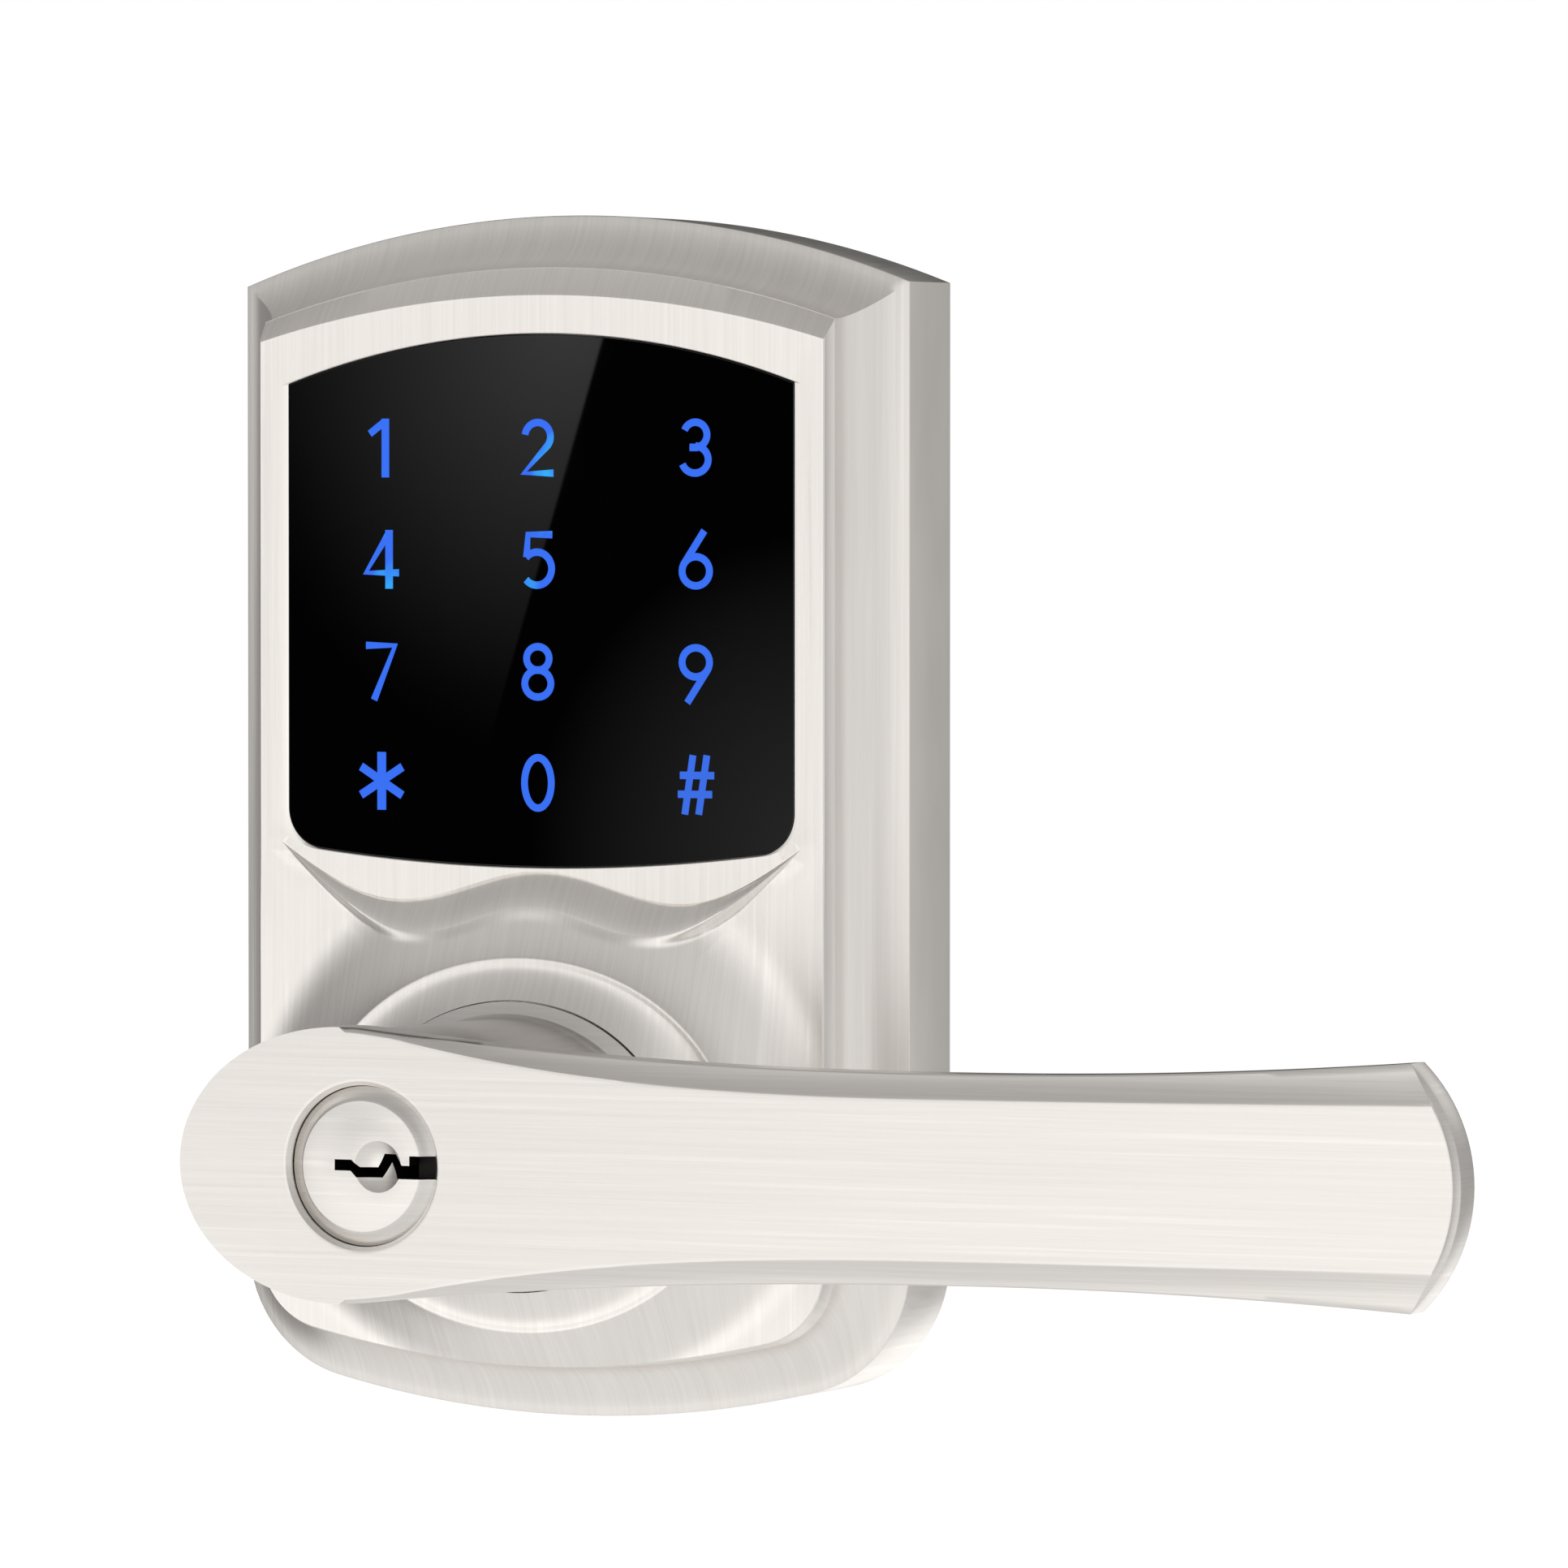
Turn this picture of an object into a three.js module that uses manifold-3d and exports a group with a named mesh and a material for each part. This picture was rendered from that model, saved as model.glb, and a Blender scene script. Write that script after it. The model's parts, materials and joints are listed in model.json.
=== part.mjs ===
// Outside unit of a keypad smart lock: escutcheon with a touch panel, sprung lever with a key cylinder,
// and the clutch that joins the lever to the spindle. Millimetres, +Z up, +Y into the door.
// The door's face is Y = 0 and the spindle's axis is the Y axis. Most sizes along the axis are given
// as a distance out from the door, so a point "out" by 5 lies at Y = -5.
import * as THREE from "three";
import { mergeVertices } from "three/addons/utils/BufferGeometryUtils.js";
import Module from "manifold-3d";

// Clearances
const touchGap = 0.05; // between pieces that rest on each other
const fitGap = 0.15; // around a piece that is fixed in a hole
const runGap = 0.08; // around a shaft that turns or slides
const looseGap = 0.3; // around a piece that only has to clear its neighbour

// Escutcheon outline
const plateWidth = 82.5;
const plateHeight = 135;
const axisToBottom = 31.2;
const archRise = 7.7;
const bottomArcRadius = 126;
const bottomCornerRadius = 15;

// Escutcheon section, out from the door
const rimOut = 0.25;
const skirtOut = 11.8;
const coveOut = 18.7;
const coveWidth = 5.95;
const panelOut = 20.9;
const panelStepSide = 0.35;
const panelStepTop = 3;
const panelRise = 5.1;
const skirtWall = 2.6;
const faceWall = 3.3;
const panelWallInset = 1;

// Touch panel
const glassMarginSide = 3.65;
const glassMarginTop = 4.5;
const glassRise = 5.5;
const glassBottomZ = 30.9;
const glassBottomRadius = 215;
const glassCornerRadius = 4.6;
const glassThickness = 1.6;
const glassProud = 0.1;
const sealThickness = 0.4;
const sealWidth = 2.4;
const windowInset = 3.5;
const guideThickness = 1.2;
const sensorBoardThickness = 1.1;
const carrierWall = 2;
const controlBoardThickness = 1.5;
const controlBoardOut = 8;
const boardEdgeMargin = 2.2;
const boardFoot = 5;
const standoffRadius = 2.3;
const standoffInset = 9;
const boardScrewRadius = 1;
const boardScrewHead = [1.9, 1.1];
const boardScrewLength = 5;
const buzzerRadius = 4.5;
const buzzerHeight = 4;
const buzzerX = 11;
const buzzerHole = [0.9, 1];
const socketSize = [14, 5.5, 3.2];
const socketWall = 1;
const socketPlace = [-18, 7];

// Wave-shaped step under the glass
const waveTipMargin = 0.9;
const waveTipZ = 33.3;
const waveUpper = { valleyX: 17.35, valleyZ: 27.05, crestZ: 30.4 };
const waveLower = { valleyX: 13.9, valleyZ: 23.5, crestZ: 26.4 };
const waveHeight = 2.4;

// Raised boss round the lever
const bossHalf = [26.3, 21.1];
const bossOut = 25.6;
const collarHalf = [19.6, 16.3];
const collarOut = 27.6;
const flareWidth = 10;
const pocketMargin = [5, 1];
const bossWall = 5.2;

// Back plate, gasket and what fixes them
const gasketThickness = 1;
const backPlateThickness = 1.6;
const postSpacing = 38.1;
const postRadius = 4;
const postReach = 22;
const postBossRadius = 5;
const postStudRadius = 2.5;
const postStudLength = 8;
const postThreadRadius = 2.1;
const postThreadDepth = 14;
const plateScrewRadius = 1.5;
const plateScrewHead = [2.8, 0.8];
const plateScrewLength = 7;
const screwBossRadius = 3;
const upperScrewPlace = [24, 9.6];
const lowerScrewPlace = [11.6, 14.5];
const grommetPlace = [-15.8, 16.5];
const grommetBore = 3.4;
const grommetWall = 1.2;

// Lever
const leverLength = 126.4;
const leverFaceOut = 65;
const leverThickness = 6;
const hubHalf = [19.4, 15];
const hubCentreX = -2.7;
const waistX = 72;
const waistHalf = 11.2;
const tipHalf = 13;
const tipArcRadius = 17.9;
const bevelStartX = 4;
const bevelWaistHalf = 8.55;
const bevelTipHalf = 9.2;
const bevelDepth = 1.3;
const edgeRound = 0.6;
const neckGap = 0.45;
// The neck's section from the escutcheon to the lever: share of its depth, half sizes, centre
const neckSections = [
  { share: 0, half: [19.6, 16.2], centreX: 0 },
  { share: 0.12, half: [18.9, 15.8], centreX: 0 },
  { share: 0.35, half: [18.4, 15.3], centreX: 0 },
  { share: 0.65, half: [18.5, 14.9], centreX: -0.6 },
  { share: 1, half: [18.7, 14.2], centreX: -1.6 },
];
const setScrewRadius = 2.5;
const setScrewLength = 4.2;

// Shank, bush and return spring
const shankRadius = 10.5;
const shankBore = 4.5;
const driveRadius = 9;
const driveFlatHalf = 7.4;
const flangeRim = 2.1;
const flangeThickness = 1.4;
const bushWall = 2.5;
const cupDepth = 4.5;
const cupWall = 2.1;
const washerThickness = 0.5;
const springWire = 0.65;
const springTurns = 2;
const stopArmLength = 4.4;
const stopArmHalfWidth = 2.4;
const stopPinRadius = 1.5;
const stopPinSeat = 1.7;
const leverTravel = 50;

// Key cylinder
const plugRadius = 6.3;
const plugHeadRadius = 8.6;
const plugHeadThickness = 2.3;
const plugFaceRadius = 7.1;
const plugBevelDepth = 1.3;
const keywayHalf = 1.25;
// The keyway's section: its upper edge outwards and its lower edge back
const keywayUpper = [
  [-3.2, 0.7],
  [-1.2, 0.7],
  [-0.3, -0.1],
  [1.6, -0.1],
  [2.5, 1.4],
  [4.1, 1.4],
  [4.9, 0.2],
  [5.8, 0.2],
  [5.8, keywayHalf],
];
const keywayLower = [
  [4.3, -keywayHalf],
  [3.4, 0.5],
  [2.2, -1.2],
  [-0.6, -1.2],
  [-1.3, -0.5],
  [-3.2, -0.5],
];
const dimple = { radius: 4.6, depth: 0.95, x: 2 };
const shellWall = 2.25;
const bibleReach = 15.4;
const bibleHalfWidth = 3.5;
const bibleCap = 1.2;
const cylinderLength = 26;
const pinCount = 5;
const pinPitch = 3.97;
const pinRadius = 1.4;
const firstPinDepth = 5;
const keyPinLengths = [3.1, 2.6, 3.5, 2.9, 3.3];
const keyPinTip = 0.8;
const driverPinLength = 3.6;
const pinSpringWire = 0.22;
const pinSpringTurns = 4;
const tailWidth = 6;
const tailThickness = 1.6;
const tailSeat = 1.3;
const clipThickness = 0.8;
const clipGroove = 1;
const clipRim = 1.4;

// Clutch, drive hub and spindle
const hubRadius = 13;
const hubThickness = 5;
const hubJournalRadius = 8;
const hubRecess = 1.7;
const dogDepth = 2.4;
const dogInset = 0.9;
const dogHalfWidth = 2.5;
const sleeveRadius = 12.6;
const sleeveLength = 5.2;
const sleeveTravel = 2.8;
const grooveDepth = 1.4;
const forkThickness = 1.4;
const earRadius = 2.6;
const yokeWidth = 3;
const yokeHalfAngle = 60;
const motorHeight = 27;
const motorRadius = 5.8;
const motorLength = 5;
const motorNose = 0.5;
const motorNoseRadius = 2.4;
const motorScrewRadius = 1.5;
const nutHalf = 3.6;
const nutLength = 4;
const guidePinRadius = 1.2;
const guidePinOffset = 8.4;
const bracketWall = 1.2;
const bracketLength = 3.4;
const bracketFoot = 3.8;
const spindleSide = 7.8;
const spindleReach = 44;

// Places worked out from the sizes above
const halfWidth = plateWidth / 2;
const topZ = plateHeight - axisToBottom;
const archRadius = radiusOfRise(halfWidth, archRise);
const coveHalfWidth = halfWidth - coveWidth;
const panelHalfWidth = coveHalfWidth - panelStepSide;
const panelTopZ = topZ - coveWidth - panelStepTop;
const panelRadius = radiusOfRise(panelHalfWidth, panelRise);
const faceInnerOut = panelOut - faceWall;
const glassHalfWidth = panelHalfWidth - glassMarginSide;
const glassTopZ = panelTopZ - glassMarginTop;
const glassFrontOut = panelOut + glassProud;
const glassBackOut = glassFrontOut - glassThickness;
const glassLedgeOut = glassBackOut - sealThickness - 2 * touchGap;
const boardHalfWidth = panelHalfWidth - boardEdgeMargin;
const controlBoardFront = controlBoardOut + controlBoardThickness;
const boardBottomZ = glassBottomZ + boardFoot;
const boardTopZ = glassTopZ - standoffInset + boardFoot;
const backPlateOut = gasketThickness + touchGap;
const backPlateFront = backPlateOut + backPlateThickness;
const insideOut = backPlateFront + touchGap;
const bossInnerOut = collarOut - bossWall;
const hubOut = backPlateFront + looseGap;
const hubFront = hubOut + hubThickness;
const sleeveOut = hubFront + looseGap;
const sleeveFront = sleeveOut + sleeveLength;
const flangeOut = sleeveFront + sleeveTravel + looseGap;
const flangeFront = flangeOut + flangeThickness;
const flangeRadius = shankRadius + flangeRim;
const stopArmReach = flangeRadius + stopArmLength;
const bossPocketHalf = pocketMargin.map((margin) => stopArmReach + margin);
const springFront = bossInnerOut - looseGap;
const springPitch = (springFront - flangeFront - looseGap - 2 * springWire) / springTurns;
const springRadius = shankRadius + 2 * springWire + 0.15;
const bushFront = collarOut - 0.2;
const washerFront = bushFront + touchGap + washerThickness;
const neckOut = Math.max(washerFront + touchGap, collarOut + neckGap);
const leverBackOut = leverFaceOut - leverThickness;
const plugShoulderOut = leverFaceOut - plugHeadThickness;
const cylinderFront = plugShoulderOut - runGap;
const cylinderBack = cylinderFront - cylinderLength;
const barrelRadius = plugRadius + shellWall;
const shankFront = cylinderBack - touchGap;
const shankCupRadius = shankRadius - cupWall;
const setScrewOut = (neckOut + shankFront) / 2;
const sleeveGrooveOut = sleeveOut + (sleeveLength - forkThickness) / 2 - looseGap / 3;
const tipSideX = leverLength - tipArcRadius + Math.sqrt(tipArcRadius ** 2 - tipHalf ** 2);

const wasm = await Module();
wasm.setup();

function radiusOfRise(half, rise) {
  return (half ** 2 + rise ** 2) / (2 * rise);
}

function degrees(angle) {
  return (angle * Math.PI) / 180;
}

// A closed geometry as a manifold-3d solid, turned right side out.
function solidOf(geometry) {
  const bare = new THREE.BufferGeometry();
  bare.setAttribute("position", geometry.getAttribute("position"));
  bare.setIndex(geometry.index);
  const merged = mergeVertices(bare, 1e-4);
  const kept = [];
  const index = merged.index.array;
  for (let i = 0; i < index.length; i += 3) {
    const [a, b, c] = index.slice(i, i + 3);
    if (a !== b && b !== c && c !== a) kept.push(a, b, c);
  }
  const build = (triangles) =>
    new wasm.Manifold(
      new wasm.Mesh({
        numProp: 3,
        vertProperties: merged.attributes.position.array,
        triVerts: new Uint32Array(triangles),
      }),
    );
  const solid = build(kept);
  return solid.volume() > 0 ? solid : build(kept.reverse());
}

function cut(solid, pieces) {
  return pieces.reduce((left, piece) => left.subtract(piece), solid);
}

// An outline of [x, z] points as a plate between two distances out from the door.
function plate(outline, fromOut, toOut) {
  const shape = new THREE.Shape(outline.map(([x, z]) => new THREE.Vector2(x, z)));
  const geometry = new THREE.ExtrudeGeometry(shape, { depth: toOut - fromOut, bevelEnabled: false });
  return solidOf(geometry.rotateX(Math.PI / 2).translate(0, -fromOut, 0));
}

// A profile of [radius, out] points turned about an axis parallel to Y through [x, z].
function turned(profile, [x, z] = [0, 0], segments = 48) {
  const points = profile.map(([radius, out]) => new THREE.Vector2(radius, -out));
  points.push(points[0].clone());
  return solidOf(new THREE.LatheGeometry(points, segments).translate(x, 0, z));
}

function disc(radius, fromOut, toOut, place, segments) {
  return turned([[0, fromOut], [radius, fromOut], [radius, toOut], [0, toOut]], place, segments);
}

function tube(inner, outer, fromOut, toOut, place, segments) {
  return turned([[inner, fromOut], [outer, fromOut], [outer, toOut], [inner, toOut]], place, segments);
}

// A box between two corners, each [x, out, z].
function block([x1, out1, z1], [x2, out2, z2]) {
  const geometry = new THREE.BoxGeometry(Math.abs(x2 - x1), Math.abs(out2 - out1), Math.abs(z2 - z1));
  return solidOf(geometry.translate((x1 + x2) / 2, -(out1 + out2) / 2, (z1 + z2) / 2));
}

// Closed counterclockwise rings of [x, out, z] points, all of one length, skinned in order from the
// door outwards and capped flat at both ends.
function loft(rings) {
  const count = rings[0].length;
  const positions = rings.flat().flatMap(([x, out, z]) => [x, -out, z]);
  const faces = [];
  for (let r = 0; r + 1 < rings.length; r++) {
    for (let i = 0; i < count; i++) {
      const a = r * count + i;
      const b = r * count + ((i + 1) % count);
      faces.push(a, b, b + count, a, b + count, a + count);
    }
  }
  for (const [ring, flip] of [[0, true], [rings.length - 1, false]]) {
    const contour = rings[ring].map(([x, , z]) => new THREE.Vector2(x, z));
    for (const [a, b, c] of THREE.ShapeUtils.triangulateShape(contour, [])) {
      const start = ring * count;
      faces.push(start + a, start + (flip ? c : b), start + (flip ? b : c));
    }
  }
  const geometry = new THREE.BufferGeometry();
  geometry.setAttribute("position", new THREE.Float32BufferAttribute(positions, 3));
  geometry.setIndex(faces);
  return solidOf(geometry);
}

// A round wire swept along a curve.
function wire(curve, radius, steps, sides = 6) {
  const section = new THREE.Shape().absarc(0, 0, radius, 0, 2 * Math.PI);
  const points = section.extractPoints(sides / 2).shape;
  const shape = new THREE.Shape(points);
  return solidOf(new THREE.ExtrudeGeometry(shape, { steps, extrudePath: curve, bevelEnabled: false }));
}

function arcPoints(centre, radius, from, to, steps) {
  const points = [];
  for (let i = 0; i <= steps; i++) {
    const angle = from + ((to - from) * i) / steps;
    points.push([centre[0] + radius * Math.cos(angle), centre[1] + radius * Math.sin(angle)]);
  }
  return points;
}

function ellipsePoints([halfX, halfZ], steps = 64, centreX = 0) {
  const points = [];
  for (let i = 0; i < steps; i++) {
    const angle = (2 * Math.PI * i) / steps;
    points.push([centreX + halfX * Math.cos(angle), halfZ * Math.sin(angle)]);
  }
  return points;
}

// The arched outline that the escutcheon, its panel and the glass share, counterclockwise from its
// upper right corner: an arch on top, straight sides, round lower corners and a shallow lower arc.
function archedOutline({ half, top, topRadius, bottom, bottomRadius, corner }) {
  const archCentre = top - topRadius;
  const archAngle = Math.asin(half / topRadius);
  const cornerX = half - corner;
  const bottomCentre = bottom + bottomRadius;
  const cornerZ = bottomCentre - Math.sqrt((bottomRadius - corner) ** 2 - cornerX ** 2);
  const bottomAngle = Math.atan2(cornerX, bottomCentre - cornerZ);
  const down = -Math.PI / 2;
  return [
    ...arcPoints([0, archCentre], topRadius, -down - archAngle, -down + archAngle, 20),
    ...arcPoints([-cornerX, cornerZ], corner, Math.PI, 1.5 * Math.PI - bottomAngle, 6),
    ...arcPoints([0, bottomCentre], bottomRadius, down - bottomAngle, down + bottomAngle, 12).slice(1, -1),
    ...arcPoints([cornerX, cornerZ], corner, down + bottomAngle, 0, 6),
  ];
}

function plateOutline(inset) {
  return archedOutline({
    half: halfWidth - inset,
    top: topZ - inset,
    topRadius: archRadius - inset,
    bottom: inset - axisToBottom,
    bottomRadius: bottomArcRadius - inset,
    corner: bottomCornerRadius - inset,
  });
}

function panelOutline(inset) {
  return archedOutline({
    half: panelHalfWidth - inset,
    top: panelTopZ - inset,
    topRadius: panelRadius - inset,
    bottom: coveWidth + panelStepSide + inset - axisToBottom,
    bottomRadius: bottomArcRadius - coveWidth - inset,
    corner: bottomCornerRadius - coveWidth - panelStepSide - inset,
  });
}

function glassOutline(inset) {
  const half = glassHalfWidth - inset;
  return archedOutline({
    half,
    top: glassTopZ - inset,
    topRadius: radiusOfRise(glassHalfWidth, glassRise) - inset,
    bottom: glassBottomZ + inset,
    bottomRadius: glassBottomRadius - inset,
    corner: Math.max(glassCornerRadius - inset, 0.8),
  });
}

// One edge of the wave-shaped step, from the right tip to the left tip.
function waveEdge({ valleyX, valleyZ, crestZ }, steps = 32) {
  const tipX = glassHalfWidth + waveTipMargin;
  const points = [];
  for (let i = 0; i <= steps; i++) {
    const x = tipX * Math.cos((Math.PI * i) / steps);
    const reach = Math.abs(x);
    const swell = (1 + Math.cos((Math.PI * reach) / valleyX)) / 2;
    const climb = 1 - Math.cos(((Math.PI / 2) * (reach - valleyX)) / (tipX - valleyX));
    const rise = reach < valleyX ? (crestZ - valleyZ) * swell : (waveTipZ - valleyZ) * climb;
    points.push([x, valleyZ + rise]);
  }
  return points;
}

// The lower body of the escutcheon: the wave-shaped step, the flare and the boss, as rings of points
// that run from the bush's bore out to the edge of the panel.
function bossBody() {
  const upper = waveEdge(waveUpper);
  const lower = waveEdge(waveLower);
  const tipZ = lower[0][1];
  const rim = panelOutline(0).filter(([, z]) => z < tipZ - 6);
  const left = rim[0][0];
  const sideSteps = [0, 0.2, 0.4, 0.6, 0.8].map((share) => tipZ + (rim[0][1] - tipZ) * share);
  const outline = [
    ...lower.map(([x, z], i) => ({ x, z, beyond: upper[i], step: Math.min(1, (upper[i][1] - z) / 3) })),
    ...sideSteps.map((z) => ({ x: left, z, beyond: [left, z], step: 0 })),
    ...rim.map(([x, z]) => ({ x, z, beyond: [x, z], step: 0 })),
    ...sideSteps.map((z) => ({ x: -left, z, beyond: [-left, z], step: 0 })).reverse(),
  ];
  const ellipseReach = ([halfX, halfZ], x, z) => 1 / Math.hypot(x / halfX, z / halfZ);
  const ring = (place) => outline.map((end) => place(end, Math.hypot(end.x, end.z)));
  const scaled = (end, share, out) => [end.x * share, out, end.z * share];
  const baseOut = faceInnerOut - 1;
  const boreRadius = shankRadius + bushWall;
  const flareShares = [0.04, 0.14, 0.3, 0.5, 0.74];
  const flare = flareShares.map((share) =>
    ring((end, reach) => {
      const inner = ellipseReach(bossHalf, end.x, end.z) * reach;
      const width = Math.min(flareWidth, reach - inner);
      const foot = panelOut + waveHeight * end.step;
      const out = bossOut - (bossOut - foot) * Math.sqrt(1 - (1 - share) ** 2);
      return scaled(end, (inner + width * share) / reach, out);
    }),
  );
  const top = [
    ring((end, reach) => scaled(end, boreRadius / reach, collarOut)),
    ring((end) => scaled(end, ellipseReach(collarHalf, end.x, end.z), collarOut)),
    ring((end) => scaled(end, ellipseReach(bossHalf, end.x, end.z), bossOut)),
    ...flare,
    ring((end) => scaled(end, 1, panelOut + waveHeight * end.step)),
    ring(({ beyond: [x, z] }) => [x, panelOut, z]),
  ];
  return solidOf(ringSurface(top, baseOut));
}

// Nested rings of points as a surface, closed by walls down to a flat underside.
function ringSurface(rings, baseOut) {
  const underside = [rings.at(-1), rings[0]].map((ring) => ring.map(([x, , z]) => [x, baseOut, z]));
  const sheets = [...rings, ...underside];
  const count = rings[0].length;
  const faces = [];
  for (let r = 0; r < sheets.length; r++) {
    for (let i = 0; i < count; i++) {
      const a = r * count + i;
      const b = r * count + ((i + 1) % count);
      const c = ((r + 1) % sheets.length) * count + i;
      const d = ((r + 1) % sheets.length) * count + ((i + 1) % count);
      faces.push(a, b, d, a, d, c);
    }
  }
  const geometry = new THREE.BufferGeometry();
  const positions = sheets.flat().flatMap(([x, out, z]) => [x, -out, z]);
  geometry.setAttribute("position", new THREE.Float32BufferAttribute(positions, 3));
  geometry.setIndex(faces);
  return geometry;
}

const upperScrews = [-1, 1].map((side) => [side * upperScrewPlace[0], topZ - upperScrewPlace[1]]);
const lowerScrewX = halfWidth - lowerScrewPlace[0];
const lowerScrews = [-1, 1].map((side) => [side * lowerScrewX, lowerScrewPlace[1] - axisToBottom]);
const plateScrews = [...upperScrews, ...lowerScrews];
const posts = [-1, 1].map((side) => [(side * postSpacing) / 2, 0]);
const standoffX = panelHalfWidth - panelWallInset - standoffRadius + 0.4;
const standoffs = [boardBottomZ + standoffInset, boardTopZ - standoffInset].flatMap((z) =>
  [-standoffX, standoffX].map((x) => [x, z]),
);
const stopAngle = Math.asin((stopArmHalfWidth + stopPinRadius + runGap) / (stopArmReach - stopPinRadius));
const stopPins = [stopAngle, -stopAngle - degrees(leverTravel)].map((angle) => [
  (stopArmReach - stopPinRadius) * Math.sin(angle),
  -(stopArmReach - stopPinRadius) * Math.cos(angle),
]);

function escutcheonHousing() {
  const at = (outline, out) => outline.map(([x, z]) => [x, out, z]);
  const coveSteps = [15, 30, 45, 60, 75, 90].map(degrees);
  const coveDepth = coveOut - skirtOut;
  const cove = coveSteps.map((turn) =>
    at(plateOutline(coveWidth * Math.sin(turn)), coveOut - coveDepth * Math.cos(turn)),
  );
  const body = loft([
    at(plateOutline(0), rimOut),
    at(plateOutline(0), skirtOut),
    ...cove,
    at(panelOutline(0), panelOut),
  ]);
  const cavityOut = skirtOut - skirtWall;
  const hollows = [
    plate(plateOutline(skirtWall), rimOut - 1, cavityOut),
    plate(panelOutline(panelWallInset), cavityOut - 1, faceInnerOut),
    plate(ellipsePoints(bossPocketHalf), faceInnerOut - 1, bossInnerOut),
    plate(glassOutline(-fitGap), glassLedgeOut, panelOut + 5),
    plate(glassOutline(windowInset), faceInnerOut - 1, panelOut),
  ];
  const standoffOut = controlBoardFront + touchGap;
  const bosses = [
    ...posts.map((place) => disc(postBossRadius, insideOut, bossInnerOut + 1, place, 32)),
    ...upperScrews.map((place) => disc(screwBossRadius, insideOut, skirtOut, place, 24)),
    ...lowerScrews.map((place) => disc(screwBossRadius, insideOut, coveOut, place, 24)),
    ...standoffs.map((place) => disc(standoffRadius, standoffOut, faceInnerOut + 1, place, 20)),
  ];
  const screwDepth = backPlateFront + plateScrewLength + 1;
  const pinDepth = bossInnerOut + stopPinSeat + touchGap;
  const holes = [
    disc(flangeRadius + looseGap, insideOut - 1, bossInnerOut),
    disc(shankRadius + bushWall + fitGap, bossInnerOut - 1, collarOut + 1),
    ...posts.map((place) => disc(postStudRadius + fitGap, 0, insideOut + postStudLength + 1, place, 24)),
    ...plateScrews.map((place) => disc(plateScrewRadius + fitGap, 0, screwDepth, place, 16)),
    ...standoffs.map((place) => disc(boardScrewRadius + fitGap, 0, faceInnerOut - 1, place, 12)),
    ...stopPins.map((place) => disc(stopPinRadius + fitGap, bossInnerOut - 1, pinDepth, place, 24)),
  ];
  const hollowed = cut(body.add(bossBody()), hollows);
  return cut(bosses.reduce((joined, boss) => joined.add(boss), hollowed), holes);
}

function touchGlass() {
  return plate(glassOutline(0), glassBackOut, glassFrontOut);
}

function glassSeal() {
  const seal = plate(glassOutline(0.3), glassLedgeOut + touchGap, glassBackOut - touchGap);
  return seal.subtract(plate(glassOutline(sealWidth), 0, panelOut));
}

function lightGuide() {
  const front = glassLedgeOut;
  return plate(glassOutline(windowInset + looseGap), front - guideThickness, front);
}

const sensorBoardFront = Math.min(faceInnerOut, glassLedgeOut - guideThickness) - touchGap;
const sensorBoardOut = sensorBoardFront - sensorBoardThickness;
const sensorBoardHalf = Math.min(standoffX - standoffRadius - looseGap, glassHalfWidth - 1);

function sensorBoard() {
  const half = sensorBoardHalf;
  return block([-half, sensorBoardOut, glassBottomZ + 2], [half, sensorBoardFront, glassTopZ - glassRise]);
}

function boardCarrier() {
  const half = sensorBoardHalf - 1;
  const low = boardBottomZ + 1;
  const high = boardTopZ - 1;
  const from = controlBoardFront + touchGap;
  const to = sensorBoardOut - touchGap;
  const innerHalf = half - carrierWall;
  const inner = block([-innerHalf, 0, low + carrierWall], [innerHalf, panelOut, high - carrierWall]);
  return block([-half, from, low], [half, to, high]).subtract(inner);
}

function controlBoard() {
  const half = boardHalfWidth;
  const board = block([-half, controlBoardOut, boardBottomZ], [half, controlBoardFront, boardTopZ]);
  const holes = standoffs.map((place) => disc(boardScrewRadius + fitGap, 0, panelOut, place, 12));
  return cut(board, holes);
}

function buzzer() {
  const [holeRadius, holeDepth] = buzzerHole;
  const profile = [
    [0, 0],
    [buzzerRadius, 0],
    [buzzerRadius, buzzerHeight],
    [holeRadius, buzzerHeight],
    [holeRadius, buzzerHeight - holeDepth],
    [0, buzzerHeight - holeDepth],
  ];
  return turned(profile, [0, 0], 32);
}

function harnessSocket() {
  const [width, height, depth] = socketSize;
  const shell = block([-width / 2, -depth, -height / 2], [width / 2, 0, height / 2]);
  const innerX = width / 2 - socketWall;
  const innerZ = height / 2 - socketWall;
  return shell.subtract(block([-innerX, -depth - 1, -innerZ], [innerX, -socketWall, innerZ]));
}

// A screw with a flat round head, its seat at 0 and its shank outwards.
function screw([headRadius, headThickness], radius, length) {
  const profile = [
    [0, -headThickness],
    [headRadius, -headThickness],
    [headRadius, 0],
    [radius, 0],
    [radius, length],
    [0, length],
  ];
  return turned(profile, [0, 0], 20);
}

function backPlate() {
  const holes = [
    disc(hubJournalRadius + runGap, 0, panelOut),
    ...posts.map((place) => disc(postRadius + looseGap, 0, panelOut, place, 32)),
    ...plateScrews.map((place) => disc(plateScrewRadius + looseGap, 0, panelOut, place, 16)),
    disc(grommetBore + grommetWall - 0.5, 0, panelOut, grommetPlace, 32),
    disc(guidePinRadius + fitGap, 0, panelOut, guidePinPlace, 16),
  ];
  return cut(plate(plateOutline(skirtWall + looseGap), backPlateOut, backPlateFront), holes);
}

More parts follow.
